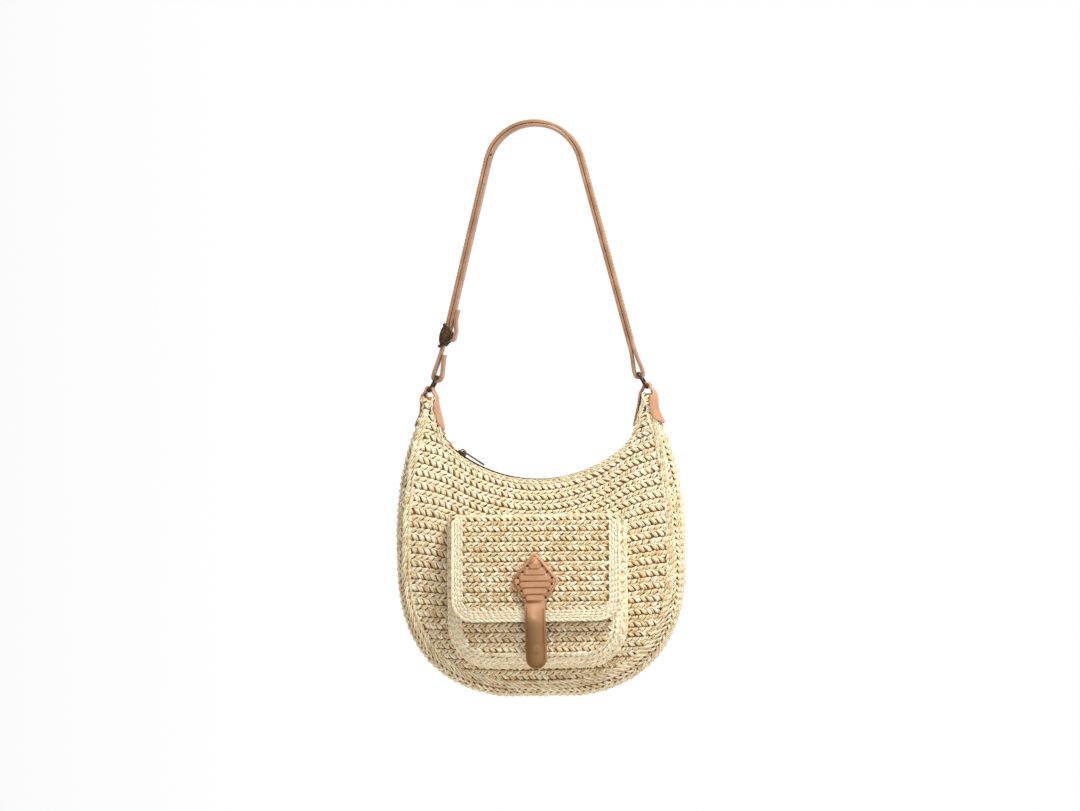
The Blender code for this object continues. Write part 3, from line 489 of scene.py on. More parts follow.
def frame_at(place, line, row, u, pitch, exact):
    """The centre, tangent, up and normal of the stitch of a row at u, or None off the fabric."""

    def middle(at):
        return (np.array(line(row, at)) + np.array(line(row + 1, at))) / 2

    centre, normal = place(middle(u))
    if centre is None:
        return None
    under, _ = place(np.array(line(row, u)))
    over, _ = place(np.array(line(row + 1, u)))
    if under is None and over is None:
        return None
    if under is None or over is None:
        up = 2 * (centre - under if over is None else over - centre)
    else:
        up = over - under
    step = 2.0
    beside, _ = place(middle(u + step))
    if beside is None:
        beside, _ = place(middle(u - step))
        if beside is None:
            return None
        beside = 2 * centre - beside
    tangent = beside - centre
    tangent = tangent - normal * (tangent @ normal)
    length = np.linalg.norm(tangent)
    if length < 1e-6:
        return None
    tangent /= length
    up = up - normal * (up @ normal)
    up = up - tangent * (up @ tangent)
    tall = np.linalg.norm(up)
    if tall < 0.5 or tall > 3.5 * ROW:
        return None
    stretch = 1.0 if exact else min(length / step, 1.3)
    return centre, tangent * pitch * stretch, up * min(1.0, 1.4 * ROW / tall), normal


def knit(
    crochet, place, line, rows, steps, lift=-0.9, templates=None, pitch=PITCH,
    keep=None, deep=0.85, exact=False, pale_and_lit=0.0,
):
    """Fills rows between the lines of a fabric. steps gives the places of a row's stitches."""
    for row in rows:
        found = []
        for u in steps(row):
            frame_here = frame_at(place, line, row, u, pitch, exact)
            if frame_here is not None and (keep is None or keep(frame_here[0], frame_here[3])):
                found.append(frame_here)
        if not found:
            continue
        used = templates or (LEAN_BACK if row % 2 == 0 else LEAN_FORWARD)
        crochet.stitches(*[np.array(a) for a in zip(*found)], used, lift, deep, pale_and_lit)


def bricks(low, high, pitch=PITCH):
    def steps(row):
        shift = 0.5 * (row % 2)
        count = int((high - low) / pitch) + 2
        return [low + (j + shift) * pitch for j in range(count)]

    return steps


def march(place, line, row, way, shift, far):
    """Places one pitch apart along a row, measured on the fabric, going one way from x = 0."""
    step = 0.7
    found = []
    last = None
    due = shift * PITCH
    u = 0.0
    while abs(u) < far:
        here, _ = place((np.array(line(row, u)) + np.array(line(row + 1, u))) / 2)
        if here is None:
            last = None
            due = min(due, 0.35 * PITCH)
        else:
            if last is not None:
                due -= np.linalg.norm(here - last)
            if due <= 0:
                found.append(u)
                due += PITCH
            last = here
        u += way * step
    return found


def braid(crochet, points, normals, pitch, width, lift=0.0, pale_and_lit=0.4):
    """A line of overlapping strands along points, whose normals point off the fabric."""
    points = np.asarray(points, dtype=float)
    run = lengths_along(points)
    count = max(2, int(round(run[-1] / pitch)))
    places = (np.arange(count) + 0.5) * run[-1] / count
    centre = point_at(places, run, points)
    tangent = unit(point_at(places + 0.5, run, points) - point_at(places - 0.5, run, points))
    normal = unit(point_at(places, run, np.asarray(normals, dtype=float)))
    normal = unit(normal - tangent * (normal * tangent).sum(axis=1, keepdims=True))
    up = np.cross(normal, tangent)
    length = run[-1] / count
    crochet.stitches(centre, tangent * length, up * width, normal, ROPE, lift, 0.4, pale_and_lit)


def leaning_points(surface, spots, side=-1.0):
    """A surface's points and normals at spots of (x, z, lean), where lean is added to a normal."""
    points = []
    normals = []
    for x, z, lean in spots:
        place, normal = surface.face(x, z, side)
        if place is not None:
            points.append(place)
            normals.append(unit(normal + np.array([lean[0], 0.0, lean[1]])))
    return points, normals


def core(name, body, shrink=GROUND_SHRINK):
    """The ground under the stitches: the CAD node's own shape, a little thinner all round. Its
    brown stands for the lining through the holes, darkened with painted shade.
    """

    def thinner(built):
        bmesh.ops.remove_doubles(built, verts=built.verts, dist=1e-6)
        built.normal_update()
        for vertex in built.verts:
            vertex.co -= vertex.normal * shrink * MM
        for face in built.faces:
            face.smooth = True

    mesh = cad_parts[name].data.copy()
    edit(mesh, thinner)
    mesh.materials.clear()
    mesh.materials.append(GROUND_AND_SHADE)
    made = add_object(name + "_ground", mesh)
    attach(made, body)
    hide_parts(name)


# ---- the bag's fabric


def mouth_rise(x):
    """How far the mouth's edge has risen at x, easing off beyond its ends."""
    x = abs(x)
    edge, ease = 85.0, 35.0
    rise = MOUTH_RADIUS - math.sqrt(MOUTH_RADIUS**2 - min(x, edge) ** 2)
    if x > edge:
        slope = edge / math.sqrt(MOUTH_RADIUS**2 - edge**2)
        rise += slope * ease * (1 - math.exp(-(x - edge) / ease))
    return rise


LEVEL_ROW = 30
SMILE_ROW = 20
SMILE_RISE = 8.0


def panel_line(row, x):
    """Rows follow the mouth at the top and level off towards the bottom."""
    bend = min(1.0, max(0.0, 1 - row / LEVEL_ROW))
    share = max(0.0, min(1.0, (row - SMILE_ROW) / SMILE_ROW))
    smile = SMILE_RISE * share * (x / BODY_HALF) ** 2
    return x, MOUTH_CENTRE_Z - MOUTH_RADIUS - ROW * row + bend * mouth_rise(x) + smile


def facing(surface, side=-1.0):
    return lambda q: surface.face(q[0], q[1], side)


def outline(z_top=-282.0):
    """The bag's outline seen from the front, from the left horn round the bottom."""
    left = []
    for z in np.arange(z_top, BODY_CENTRE_Z, -2.0):
        share = max(0.0, (z - BODY_CENTRE_Z) / SIDE_RISE)
        left.append((-(BODY_HALF - SIDE_LEAN * min(share, 1.0) ** BODY_POWER), z))
    for a in np.linspace(0, math.pi / 2, 60):
        across = math.cos(a) ** (2 / BODY_POWER)
        down = math.sin(a) ** (2 / BODY_POWER)
        left.append((-BODY_HALF * across, BODY_CENTRE_Z - BODY_HALF * down))
    right = [(-x, z) for x, z in reversed(left[:-1])]
    return np.array(left + right)


RIM = outline()
RIM_RUN = lengths_along(RIM)
RIM_STEP = 1.5
# Above this height the panels' stitches run on over the horn's edge, up to the horn's tip
HORN_Z = -333.0
HORN_TIP_Z = -284.0
SEAM_INSET = 5.4
SEAM_CURVE = 8.0


def half_depth(z):
    """Half depth of the gusset at a height."""
    rise = min(1.0, max(0.0, (z - GUSSET_NARROWS_Z) / (HORN_TOP_Z - GUSSET_NARROWS_Z)))
    return GUSSET_HALF - (GUSSET_HALF - HORN_HALF) * rise**1.6


def edge_inset(z):
    """How far inside the outline the seam between panel and gusset lies."""
    share = min(1.0, max(0.12, (half_depth(z) - HORN_HALF) / HORN_HALF))
    return SEAM_INSET + SEAM_CURVE * share


def on_panel(c, n):
    if c[2] > HORN_TIP_Z:
        return False
    away = np.hypot(RIM[:, 0] - c[0], RIM[:, 1] - c[2]).min()
    return away > edge_inset(c[2]) + 0.5 or (c[2] > HORN_Z and abs(n[1]) > 0.6 and away > 1.5)


# The rows near the mouth get paler tones as painted light, easing off further down.
LIT_TOP = 0.4
LIT_ENDS_ROW = 20
LIT_FADE_ROWS = 12
ROW_HALF = BODY_HALF + 6.0


def panel_rows(name, surface, side, rows):
    """Rows are counted down from the mouth, and each stitch stands on the row below it."""
    made = Crochet(name)
    place = facing(surface, side)

    def line(row, u):
        return panel_line(-row, u)

    def steps(row):
        shift = 0.5 * (row % 2)
        right = march(place, line, row, 1, shift, ROW_HALF)
        left = march(place, line, row, -1, shift or 1.0, ROW_HALF)
        return left[::-1] + right

    for row in rows:
        # Painted light: paler tones on the top rows.
        pale_and_lit = LIT_TOP * min(1.0, max(0.0, (LIT_ENDS_ROW - row) / LIT_FADE_ROWS))
        knit(made, place, line, [-row - 1], steps, keep=on_panel, exact=True, pale_and_lit=pale_and_lit)
    return made


SIDES = (("front", FRONT, -1.0), ("back", BACK, 1.0))
PANEL_PARTS = (("upper", range(-18, 8)), ("middle", range(8, 26)), ("lower", range(26, 46)))
panels = {}
for label, surface, side in SIDES:
    for part, rows in PANEL_PARTS:
        panels[label, part] = panel_rows(f"{label}_panel_stitches_{part}", surface, side, rows)

MOUTH_HALF_ANGLE = math.radians(44.0)
HORN_TIP = np.array([-107.8, -283.0])


def mouth_edge(inside, surface, side):
    """Points of the panel along the mouth, as far inside its edge, then up each horn."""
    points = []
    normals = []
    arc = []
    for a in np.linspace(-MOUTH_HALF_ANGLE, MOUTH_HALF_ANGLE, 60):
        across, down = math.sin(a), -math.cos(a)
        arc.append((MOUTH_RADIUS * across, MOUTH_CENTRE_Z + MOUTH_RADIUS * down, across, down))
    first = []
    for share in np.linspace(0, 1, 12)[:-1]:
        x, z = HORN_TIP + (np.array(arc[0][:2]) - HORN_TIP) * share
        first.append((x, z, -1.0, 0.0))
    last = [(-x, z, -nx, nz) for x, z, nx, nz in reversed(first)]
    for x, z, nx, nz in first + arc + last:
        for extra in (0.0, 1.0, 2.0, 3.0):
            deep = inside + extra
            place, normal = surface.face(x + nx * deep, z + nz * deep, side, RAY_START)
            if place is not None:
                points.append(place)
                normals.append(unit(normal - 0.4 * np.array([nx, 0.0, nz])))
                break
    return points, normals


for label, surface, side in SIDES:
    for inside in (0.9, 3.6):
        points, normals = mouth_edge(inside, surface, side)
        braid(panels[label, "upper"], points, normals, 5.6, 3.0, -0.5)

for made in panels.values():
    made.build("bag")
core("front_panel", "bag")
core("back_panel", "bag")


def gusset_place(q):
    s, y = q
    if s < 0 or s > RIM_RUN[-1]:
        return None, None
    x, z, nx, nz = edge_at(s, RIM_RUN, RIM, RIM_STEP)
    return GUSSET.cast((x + nx * 40, y, z + nz * 40), (-nx, 0.0, -nz), 70.0)


gusset_rows = range(-8, 8)
half_run = RIM_RUN[-1] / 2
for side, low, high in (("left", 0.0, half_run), ("right", half_run, RIM_RUN[-1])):
    made = Crochet(f"gusset_stitches_{side}")
    knit(made, gusset_place, lambda row, u: (u, row * ROW), gusset_rows, bricks(low, high - PITCH))
    made.build("bag")
core("gusset", "bag")


def seam(side, inset):
    """A line of stitches along the edge of a panel or of the gusset."""
    spots = []
    for s in np.arange(16.0, RIM_RUN[-1] - 16.0, 4.0):
        x, z, nx, nz = edge_at(s, RIM_RUN, RIM, RIM_STEP)
        away = edge_inset(z) + inset
        spots.append((x - nx * away, z - nz * away, (0.5 * nx, 0.5 * nz)))
    return leaning_points(FRONT if side < 0 else BACK, spots, side)


seams = Crochet("seam_stitches")
for side in (-1.0, 1.0):
    for inset, lift in ((1.4, -0.4), (-0.4, -0.6), (-2.3, -0.3), (-4.2, -0.3)):
        points, normals = seam(side, inset)
        braid(seams, points, normals, 6.2, 3.9, lift, pale_and_lit=0.1)
seams.build("bag")


# ---- the pocket and flap

POCKET = Surface("pocket_front", "pocket_gusset")
POCKET_WALL = Surface("pocket_gusset")
FLAP = Surface("pocket_flap")


def u_path(half, top, bottom, corner, inset):
    """Down one side, round the two lower corners and up the other, that far inside the edge."""
    half, bottom, corner = half - inset, bottom + inset, max(corner - inset, 1.0)
    low = bottom + corner
    turns = [(corner * math.cos(a), corner * math.sin(a)) for a in np.linspace(0, math.pi / 2, 24)]
    points = [(-half, z) for z in np.linspace(top, low, 20)[:-1]]
    points += [(-half + corner - across, low - down) for across, down in turns]
    points += [(x, bottom) for x in np.linspace(-half + corner, half - corner, 30)[1:-1]]
    points += [(half - corner + across, low - down) for across, down in reversed(turns)]
    points += [(half, z) for z in np.linspace(low, top, 20)[1:]]
    return np.array(points), lengths_along(points)


def depth_inside(x, z, half, bottom, corner):
    """How far a point is inside the U-shaped edge."""
    across, above = half - abs(x), z - bottom
    if across < corner and above < corner:
        return corner - math.hypot(corner - across, corner - above)
    return min(across, above)


def band_lines(edge, insets):
    """Rows that follow an edge, one at each inset, and the length of the middle one."""
    paths = [u_path(*edge, inset) for inset in insets]
    long = paths[len(paths) // 2][1][-1]

    def line(row, u):
        points, run = paths[row]
        return point_at(u / long * run[-1], run, points)

    return line, long


def band(crochet, surface, edge, insets, pitch, lift, deep, pale_and_lit):
    """Rows of smooth stitches that follow an edge, the innermost first."""
    line, long = band_lines(edge, insets)
    for row in range(len(insets) - 1):
        shift = 0.5 * (row % 2)
        places = [(j + shift) * pitch for j in range(int(long / pitch) + 1)]
        steps = lambda _: places
        knit(
            crochet, facing(surface), line, [row], steps, lift, SMOOTH, pitch, deep=deep, pale_and_lit=pale_and_lit
        )


def flat_line(start):
    return lambda row, u: (u, start + ROW * row)


POCKET_EDGE = (POCKET_HALF, POCKET_TOP, POCKET_BOTTOM, POCKET_CORNER)
POCKET_BAND = 14.0
POCKET_LIFT = -1.1
POCKET_MIDDLE_Z = -480.0
POCKET_RIM_PITCH = 6.0


def pocket_keep(c, n):
    return depth_inside(c[0], c[2], POCKET_HALF, POCKET_BOTTOM, POCKET_CORNER) > POCKET_BAND


pocket = Crochet("pocket_stitches")
knit(
    pocket,
    facing(POCKET),
    lambda row, u: (u, POCKET_TOP - 3.2 + ROW * (row + 1)),
    range(-32, -1),
    bricks(-POCKET_HALF, POCKET_HALF),
    POCKET_LIFT,
    keep=pocket_keep,
)
band(pocket, POCKET, POCKET_EDGE, (16.6, 12.6, 8.4, 4.4, 1.0), POCKET_RIM_PITCH, -1.0, 0.25, 0.45)

spots = [(x, POCKET_TOP - 1.8, (0.0, 0.7)) for x in np.linspace(-92.0, 92.0, 60)]
braid(pocket, *leaning_points(POCKET, spots), POCKET_RIM_PITCH, 3.2, -0.4)
spots = [
    (x, z, (0.6 * (x / POCKET_HALF), 0.6 * ((z - POCKET_MIDDLE_Z) / 86.0)))
    for x, z in u_path(*POCKET_EDGE, 2.2)[0]
]
braid(pocket, *leaning_points(POCKET, spots), POCKET_RIM_PITCH, 3.4, 0.1)

wall, wall_run = u_path(*POCKET_EDGE, 0.0)


def wall_place(q):
    s, y = q
    if s < 0 or s > wall_run[-1]:
        return None, None
    x, z, nx, nz = edge_at(s, wall_run, wall, 1)
    return POCKET_WALL.cast((x + nx * 20, y, z + nz * 20), (-nx, 0.0, -nz), 30.0)


knit(pocket, wall_place, flat_line(-72.0), range(0, 10), bricks(0.0, wall_run[-1]), POCKET_LIFT)
pocket.build("bag")
core("pocket_front", "bag")
core("pocket_gusset", "bag")

flap_high = Vector(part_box("pocket_flap")[1]) / MM
FLAP_FACE_Z = flap_high.z - FLAP_ROUND - 2.0
FLAP_LOWER = FLAP_BOTTOM - FLAP_FACE_Z
FLAP_EDGE = (FLAP_HALF, FLAP_FACE_Z + 4, FLAP_BOTTOM, FLAP_CORNER)
FLAP_TURN = 13.0
FLAP_TURN_Y = -49.5
FLAP_BAND = 11.5
FLAP_MIDDLE_Z = -440.0
FLAP_RIM_PITCH = 5.6


def flap_place(q):
    """s runs up the face, over the rounded top and back to the hinge."""
    x, s = q
    if s < 0:
        return FLAP.face(x, FLAP_FACE_Z + s)
    turn = min(s / FLAP_TURN, 1.0) * math.pi / 2
    back = max(0.0, s - FLAP_TURN)
    way = np.array([0.0, math.cos(turn), -math.sin(turn)])
    start = np.array((x, FLAP_TURN_Y + back, FLAP_FACE_Z)) - way * 40
    return FLAP.cast(start, way, 60.0)


def flap_keep(c, n):
    if c[2] > FLAP_FACE_Z:
        return abs(c[0]) < FLAP_HALF - 1.5
    inside = depth_inside(c[0], c[2], FLAP_HALF, FLAP_BOTTOM, FLAP_CORNER)
    return inside > FLAP_BAND and abs(c[0]) < FLAP_HALF - FLAP_BAND - 1.0


flap = Crochet("flap_stitches")
flap_steps = bricks(-FLAP_HALF, FLAP_HALF)
face_line = flat_line(FLAP_LOWER + 11.0)
knit(flap, flap_place, face_line, range(0, 26), flap_steps, -0.9, keep=flap_keep)
band(flap, FLAP, FLAP_EDGE, (12.6, 9.6, 6.6, 3.8, 1.0), FLAP_RIM_PITCH, -0.8, 0.15, 0.75)
spots = [
    (x, z, (0.7 * (x / 88.0), 0.7 * ((z - FLAP_MIDDLE_Z) / 77.0)))
    for x, z in u_path(*FLAP_EDGE, 1.6)[0]
]
braid(flap, *leaning_points(FLAP, spots), FLAP_RIM_PITCH, 3.4, -0.3, pale_and_lit=0.7)
flap.build("flap")


def under_face(q):
    return FLAP.cast((q[0], -37.0, q[1]), (0.0, -1.0, 0.0), 60.0)


def under_shoulder(q):
    return FLAP.cast((q[0], q[1], -445.0), (0.0, 0.0, 1.0), 60.0)


flap_under = Crochet("flap_underside_stitches")
knit(flap_under, under_face, flat_line(FLAP_BOTTOM), range(0, 20), flap_steps, -1.2)
knit(flap_under, under_shoulder, flat_line(-57.0), range(0, 4), flap_steps, -1.2)
flap_under.build("flap")
core("pocket_flap", "flap", 1.8)


# ---- leather, metal and cloth


def copy_of(names, name, body, look, bevel=0.0, ride=True, angle=35.0):
    """The CAD nodes' shapes as one piece, its edges softened. look is its finish and a slot name,
    which is not used.
    """
    finish, slot = look
    built = bmesh.new()
    for source in names:
        built.from_mesh(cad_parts[source].data)
    bmesh.ops.remove_doubles(built, verts=built.verts, dist=1e-6)
    mesh = bpy.data.meshes.new(name)
    built.to_mesh(mesh)
    built.free()
    mesh.polygons.foreach_set("use_smooth", [True] * len(mesh.polygons))
    mesh.set_sharp_from_angle(angle=math.radians(angle))
    mesh.materials.clear()
    mesh.materials.append(finish)
    mesh.polygons.foreach_set("material_index", [0] * len(mesh.polygons))
    made = add_object(name, mesh)
    if bevel:
        soft = made.modifiers.new("edges", "BEVEL")
        soft.width = bevel * MM
        soft.segments = 2
        soft.limit_method = "ANGLE"
        soft.angle_limit = math.radians(angle)
        soft.harden_normals = False
    if ride:
        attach(made, body)
    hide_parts(*names)
    return made


TAN = (LEATHER, "tan_leather")
STRAP_TAN = (STRAP_LEATHER, "tan_leather")
METAL = (BRONZE, "antique_bronze")

copy_of(["strap_long"], "strap", "strap", STRAP_TAN, 0.5)
take_up = copy_of(["strap_take_up"], "strap_take_up_length", "strap", STRAP_TAN)
buckle = copy_of(["adjuster_buckle"], "buckle", "adjuster", METAL)
# The oval cheeks of the adjuster: the rails' least distance from the middle, the cheeks' own
# distance, half length, half width and sides, and their section as (off, share of the size)
RAIL_Y = 10.6
CHEEK_Y = 11.9
CHEEK_HALF_LENGTH = 12.0
CHEEK_HALF_WIDTH = 5.6
CHEEK_SIDES = 36
CHEEK_SECTION = ((-1.4, 0.84), (-0.6, 0.98), (0.0, 1.0), (0.6, 0.98), (1.4, 0.84))


def add_cheeks(built):
    """The oval plate on each side of the adjuster's frame."""
    rails = np.array([(v.co.x, v.co.z) for v in built.verts if abs(v.co.y) > RAIL_Y * MM])
    middle = rails.min(axis=0) * 0.5 + rails.max(axis=0) * 0.5
    along = np.array([math.sin(LEG_ANGLE), math.cos(LEG_ANGLE)])
    across = np.array([along[1], -along[0]])
    for way in (-1, 1):
        verts = []
        for off, share in CHEEK_SECTION:
            for k in range(CHEEK_SIDES):
                a = 2 * math.pi * k / CHEEK_SIDES
                spot = along * math.cos(a) * CHEEK_HALF_LENGTH * share
                spot = spot + across * math.sin(a) * CHEEK_HALF_WIDTH * share
                x, z = middle + spot * MM
                verts.append(built.verts.new((x, (way * CHEEK_Y + off) * MM, z)))
        for face in tube_faces(len(CHEEK_SECTION), CHEEK_SIDES):
            built.faces.new([verts[i] for i in face])
    face_outward(built)


edit(buckle.data, add_cheeks)
buckle.data.polygons.foreach_set("use_smooth", [True] * len(buckle.data.polygons))
buckle.data.set_sharp_from_angle(angle=math.radians(40))
copy_of(["adjuster_strap_fold"], "strap_fold", "adjuster", STRAP_TAN, 0.4)
for name in ("ring_left", "ring_right"):
    copy_of([name], name + "_wire", "rings", METAL)


def smooth_path(points, count=8):
    """Points along a Catmull-Rom curve."""
    p = np.array([points[0]] + list(points) + [points[-1]], dtype=float)
    found = []
    for i in range(1, len(p) - 2):
        for t in np.linspace(0, 1, count, endpoint=False):
            found.append(
                0.5
                * (
                    2 * p[i]
                    + (p[i + 1] - p[i - 1]) * t
                    + (2 * p[i - 1] - 5 * p[i] + 4 * p[i + 1] - p[i + 2]) * t**2
                    + (3 * p[i] - p[i - 1] - 3 * p[i + 1] + p[i + 2]) * t**3
                )
            )
    found.append(p[-2])
    return np.array(found)


# The side tabs, in millimetres. A narrow leg is TAB_HALF wide each way, and a wide one
# reaches TAB_OVER past the horn's edge and curls round it
TAB_THICK = 2.3
TAB_HALF = 10.8
TAB_OVER = 7.5
TAB_END = 9.0
TAB_EDGE = 1.1
TAB_CURL = 3.5
TAB_MOST_TURN = 1.35
TAB_SWELL = 3.0
TAB_SWELL_HALF = 19.0
TAB_STATIONS = 29
WIDE_FROM = 0.56
WIDE_EASE = 0.16
INNER_WRAP = 0.6
OUTER_WRAP = 0.85


def wrapped(w, z, wrap):
    """A point across the tab: its depth, and how far it has curled round the horn's corner."""
    if not wrap:
        return w, 0.0
    corner = half_depth(z) - 0.5
    swell = TAB_SWELL * wrap * min(abs(w) / TAB_SWELL_HALF, 1.0) ** 2
    past = abs(w) - corner
    if past <= 0:
        return w, swell
    turn = min(past / TAB_CURL, TAB_MOST_TURN)
    rest = past - TAB_CURL * turn
    depth = corner + TAB_CURL * math.sin(turn) + rest * math.cos(turn)
    curl = swell + TAB_CURL * (1 - math.cos(turn)) + rest * math.sin(turn)
    return math.copysign(depth, w), curl


def tab_mesh(name, line, inner):
    """A leather tab along a line in the front plane: one leg is wide and wraps the horn."""
    run = lengths_along(line)
    along = unit(np.gradient(line, axis=0))
    centre = line.mean(axis=0)
    section = [(sign * a, sign) for sign in (1, -1) for a in np.linspace(1.0, -1.0, TAB_STATIONS)]
    points = []
    for i, (x, z) in enumerate(line):
        out = np.array([along[i][1], -along[i][0]])
        toward = 1.0 if out @ (centre - line[i]) > 0 else -1.0
        share = run[i] / run[-1]
        wrap = min(max(((1 - share if inner else share) - WIDE_FROM) / WIDE_EASE, 0.0), 1.0)
        wrap *= INNER_WRAP if inner else OUTER_WRAP
        wide = TAB_HALF + wrap * (half_depth(z) + TAB_OVER - TAB_HALF)
        end = min(run[i], run[-1] - run[i])
        if end < TAB_END:
            wide *= 0.25 + 0.75 * math.sqrt(max(0.0, 1 - (1 - end / TAB_END) ** 2))
        for at, sign in section:
            y, curl = wrapped(at * wide, z, wrap)
            past = max(0.0, (abs(at) * wide - wide + TAB_EDGE) / TAB_EDGE)
            half = TAB_THICK / 2 * math.sqrt(max(0.0, 1 - past**2))
            away = toward * (curl + sign * max(half, 0.05))
            points.append((x + out[0] * away, y, z + out[1] * away))
    made = make_mesh(name, points, tube_faces(len(line), len(section)), LEATHER)
    made.data.set_sharp_from_angle(angle=math.radians(50))
    edit(made.data, face_outward)
    return made


# The right tab's middle line, from its inner leg's foot over the ring to its outer leg's foot
INNER_LEG = [(100.4, -316.5), (102.8, -305.0), (105.4, -294.0), (106.6, -286.5), (107.6, -281.2)]
FOLD = [(110.2, -277.0), (112.0, -272.7), (114.6, -271.4), (117.2, -272.7), (118.8, -276.6)]
OUTER_LEG = [(122.4, -280.6), (124.5, -286.5), (124.9, -293.0), (125.6, -299.0), (127.8, -304.7)]
OUTER_FOOT = [(129.9, -309.0), (131.8, -313.2)]
TAB_LINE = smooth_path(INNER_LEG + FOLD + OUTER_LEG + OUTER_FOOT)

# The left tab's outer leg stands this much nearer the bag's middle, over its last part
LEFT_SHIFT = 1.6

for name, way in (("side_tab_left", -1), ("side_tab_right", 1)):
    line = TAB_LINE * np.array([way, 1.0])
    if way < 0:
        share = np.arange(len(line)) / len(line)
        line[:, 0] += LEFT_SHIFT * np.clip((share - 0.6) / 0.1, 0, 1)
    tab = tab_mesh(name + "_leather", line, way < 0)
    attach(tab, "bag")
    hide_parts(name)
copy_of(["closure_lace"], "closure_lacing", "flap", TAN)
nodes = ["closure_diamond", "closure_strap"]
look = (CLOSURE_LEATHER, "tan_leather")
closure = copy_of(nodes, "closure_plate", "flap", look, ride=False, angle=60.0)

# The plate's and the tongue's points are joined at the fold, so that the leather runs on over it
# as one piece
FOLD_NEAR = 2.0
FOLD_WELD = 0.9


def weld_fold(built):
    near = [v for v in built.verts if abs(v.co.z - CLOSURE_FOLD_Z * MM) < FOLD_NEAR * MM]
    bmesh.ops.remove_doubles(built, verts=near, dist=FOLD_WELD * MM)


edit(closure.data, weld_fold)
for name, body, bevel in (
    ("snap_stud", "closure", 0.2),
    ("snap_socket", "bag", 0.2),
    ("zip_slider", "zip_slider", 0.3),
    ("zip_pull", "zip_pull", 0.25),
):
    copy_of([name], name + "_metal", body, METAL, bevel)
lining = copy_of(["lining"], "lining_cloth", "bag", (LINING, "lining_cotton"))
for side in ("front", "back"):
    name = f"zip_tape_{side}"
    copy_of([name], name + "_cloth", "bag", (TAPE, "zip_tape"))
    copy_of([f"zip_chain_{side}"], f"zip_chain_{side}_metal", "bag", METAL)
for side in ("left", "right"):
    copy_of([f"zip_stop_{side}"], f"zip_stop_{side}_metal", "bag", METAL, 0.2)

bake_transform(closure)
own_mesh(take_up)


# ---- thread, painted hole shade and the snap's dome

CLOSURE = Surface("closure_diamond", "closure_strap")
STRAP = Surface("strap_long")


def capsule(start, end, radius, sides=6):
    """A short rounded thread between two points."""
    start, end = np.array(start), np.array(end)
    along = unit(end - start)
    side = np.cross(along, [0.0, 1.0, 0.0])
    if np.linalg.norm(side) < 0.1:
        side = np.cross(along, [1.0, 0.0, 0.0])
    side = unit(side)
    up = np.cross(along, side)
    points = [start - along * radius]
    stations = (
        (start, 0.75),
        (start + along * radius, 1.0),
        (end - along * radius, 1.0),
        (end, 0.75),
    )
    for centre, share in stations:
        points += circle(centre, side, up, radius * share, sides)
    points.append(end + along * radius)
    faces = [(0, 1 + (k + 1) % sides, 1 + k) for k in range(sides)]
    for i in range(3):
        for k in range(sides):
            m = (k + 1) % sides
            a, b = 1 + i * sides, 1 + (i + 1) * sides
            faces.append((a + k, a + m, b + m, b + k))
    last = len(points) - 1
    faces += [(last, last - sides + k, last - sides + (k + 1) % sides) for k in range(sides)]
    return points, faces


def thread(name, paths, body, finish, pitch=3.4, length=2.3, radius=0.35, sink=0.12):
    """Stitches laid along paths of (point, normal)."""
    points = []
    faces = []
    for path in paths:
        spots = np.array([p for p, _ in path])
        lean = np.array([n for _, n in path])
        run = lengths_along(spots)
        for s in np.arange(0.5, run[-1] - length, pitch):
            ends = []
            for at in (s, s + length):
                n = unit(point_at(at, run, lean))
                ends.append(point_at(at, run, spots) + n * (radius - sink))
            more, round_it = capsule(*ends, radius)
            faces += [tuple(i + len(points) for i in f) for f in round_it]
            points += more
    made = make_mesh(name, points, faces, finish)
    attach(made, body)


def on_closure(line):
    found = [CLOSURE.face(x, z) for x, z in line]
    return [(place, normal) for place, normal in found if place is not None]


def dense(corners, step=1.5):
    line = []
    for (x0, z0), (x1, z1) in zip(corners, corners[1:]):
        count = max(1, int(math.hypot(x1 - x0, z1 - z0) / step))
        line += [(x0 + (x1 - x0) * i / count, z0 + (z1 - z0) * i / count) for i in range(count)]
    return line + [corners[-1]]


# The seam threads: round the diamond, and down the tongue, round its end and up again
TONGUE_HALF = 8.6
TONGUE_END_Z = -555.2
upper = [(-9.6, -498.2), (-22.2, -474.1), (0.0, -448.2), (22.2, -474.1), (9.6, -498.2)]
lower = [(-TONGUE_HALF, -501.0), (-TONGUE_HALF, TONGUE_END_Z)]
lower += [
    (-TONGUE_HALF * math.cos(a), TONGUE_END_Z - TONGUE_HALF * math.sin(a))
    for a in np.linspace(0.2, math.pi - 0.2, 14)
]
lower += [(TONGUE_HALF, TONGUE_END_Z), (TONGUE_HALF, -501.0)]
for part, corners, body in (("upper", upper, "flap"), ("lower", lower, "closure")):
    path = on_closure(dense(corners))
    thread(f"closure_thread_{part}", [path], body, SEAM_THREAD, 2.7, 1.8, 0.3)


def discs(name, spots, radius, height, body, finish, sides=20):
    """Low domes on a surface; dark ones stand where holes are, as painted shade."""
    points = []
    faces = []
    for place, normal in spots:
        side = unit(np.cross(normal, [1.0, 0.0, 0.0]))
        up = np.cross(normal, side)
        base = len(points)
        for share, lift in ((1.0, -0.3), (1.0, 0.25 * height), (0.9, 0.7 * height), (0.6, height)):
            points += [p + normal * lift for p in circle(place, side, up, radius * share, sides)]
        for i in range(3):
            for k in range(sides):
                m = (k + 1) % sides
                a, b = base + i * sides, base + (i + 1) * sides
                faces.append((a + k, b + k, b + m, a + m))
        faces.append(tuple(base + k for k in range(sides)))
        faces.append(tuple(base + 3 * sides + k for k in reversed(range(sides))))
    made = make_mesh(name, points, faces, finish)
    edit(made.data, face_outward)
    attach(made, body)


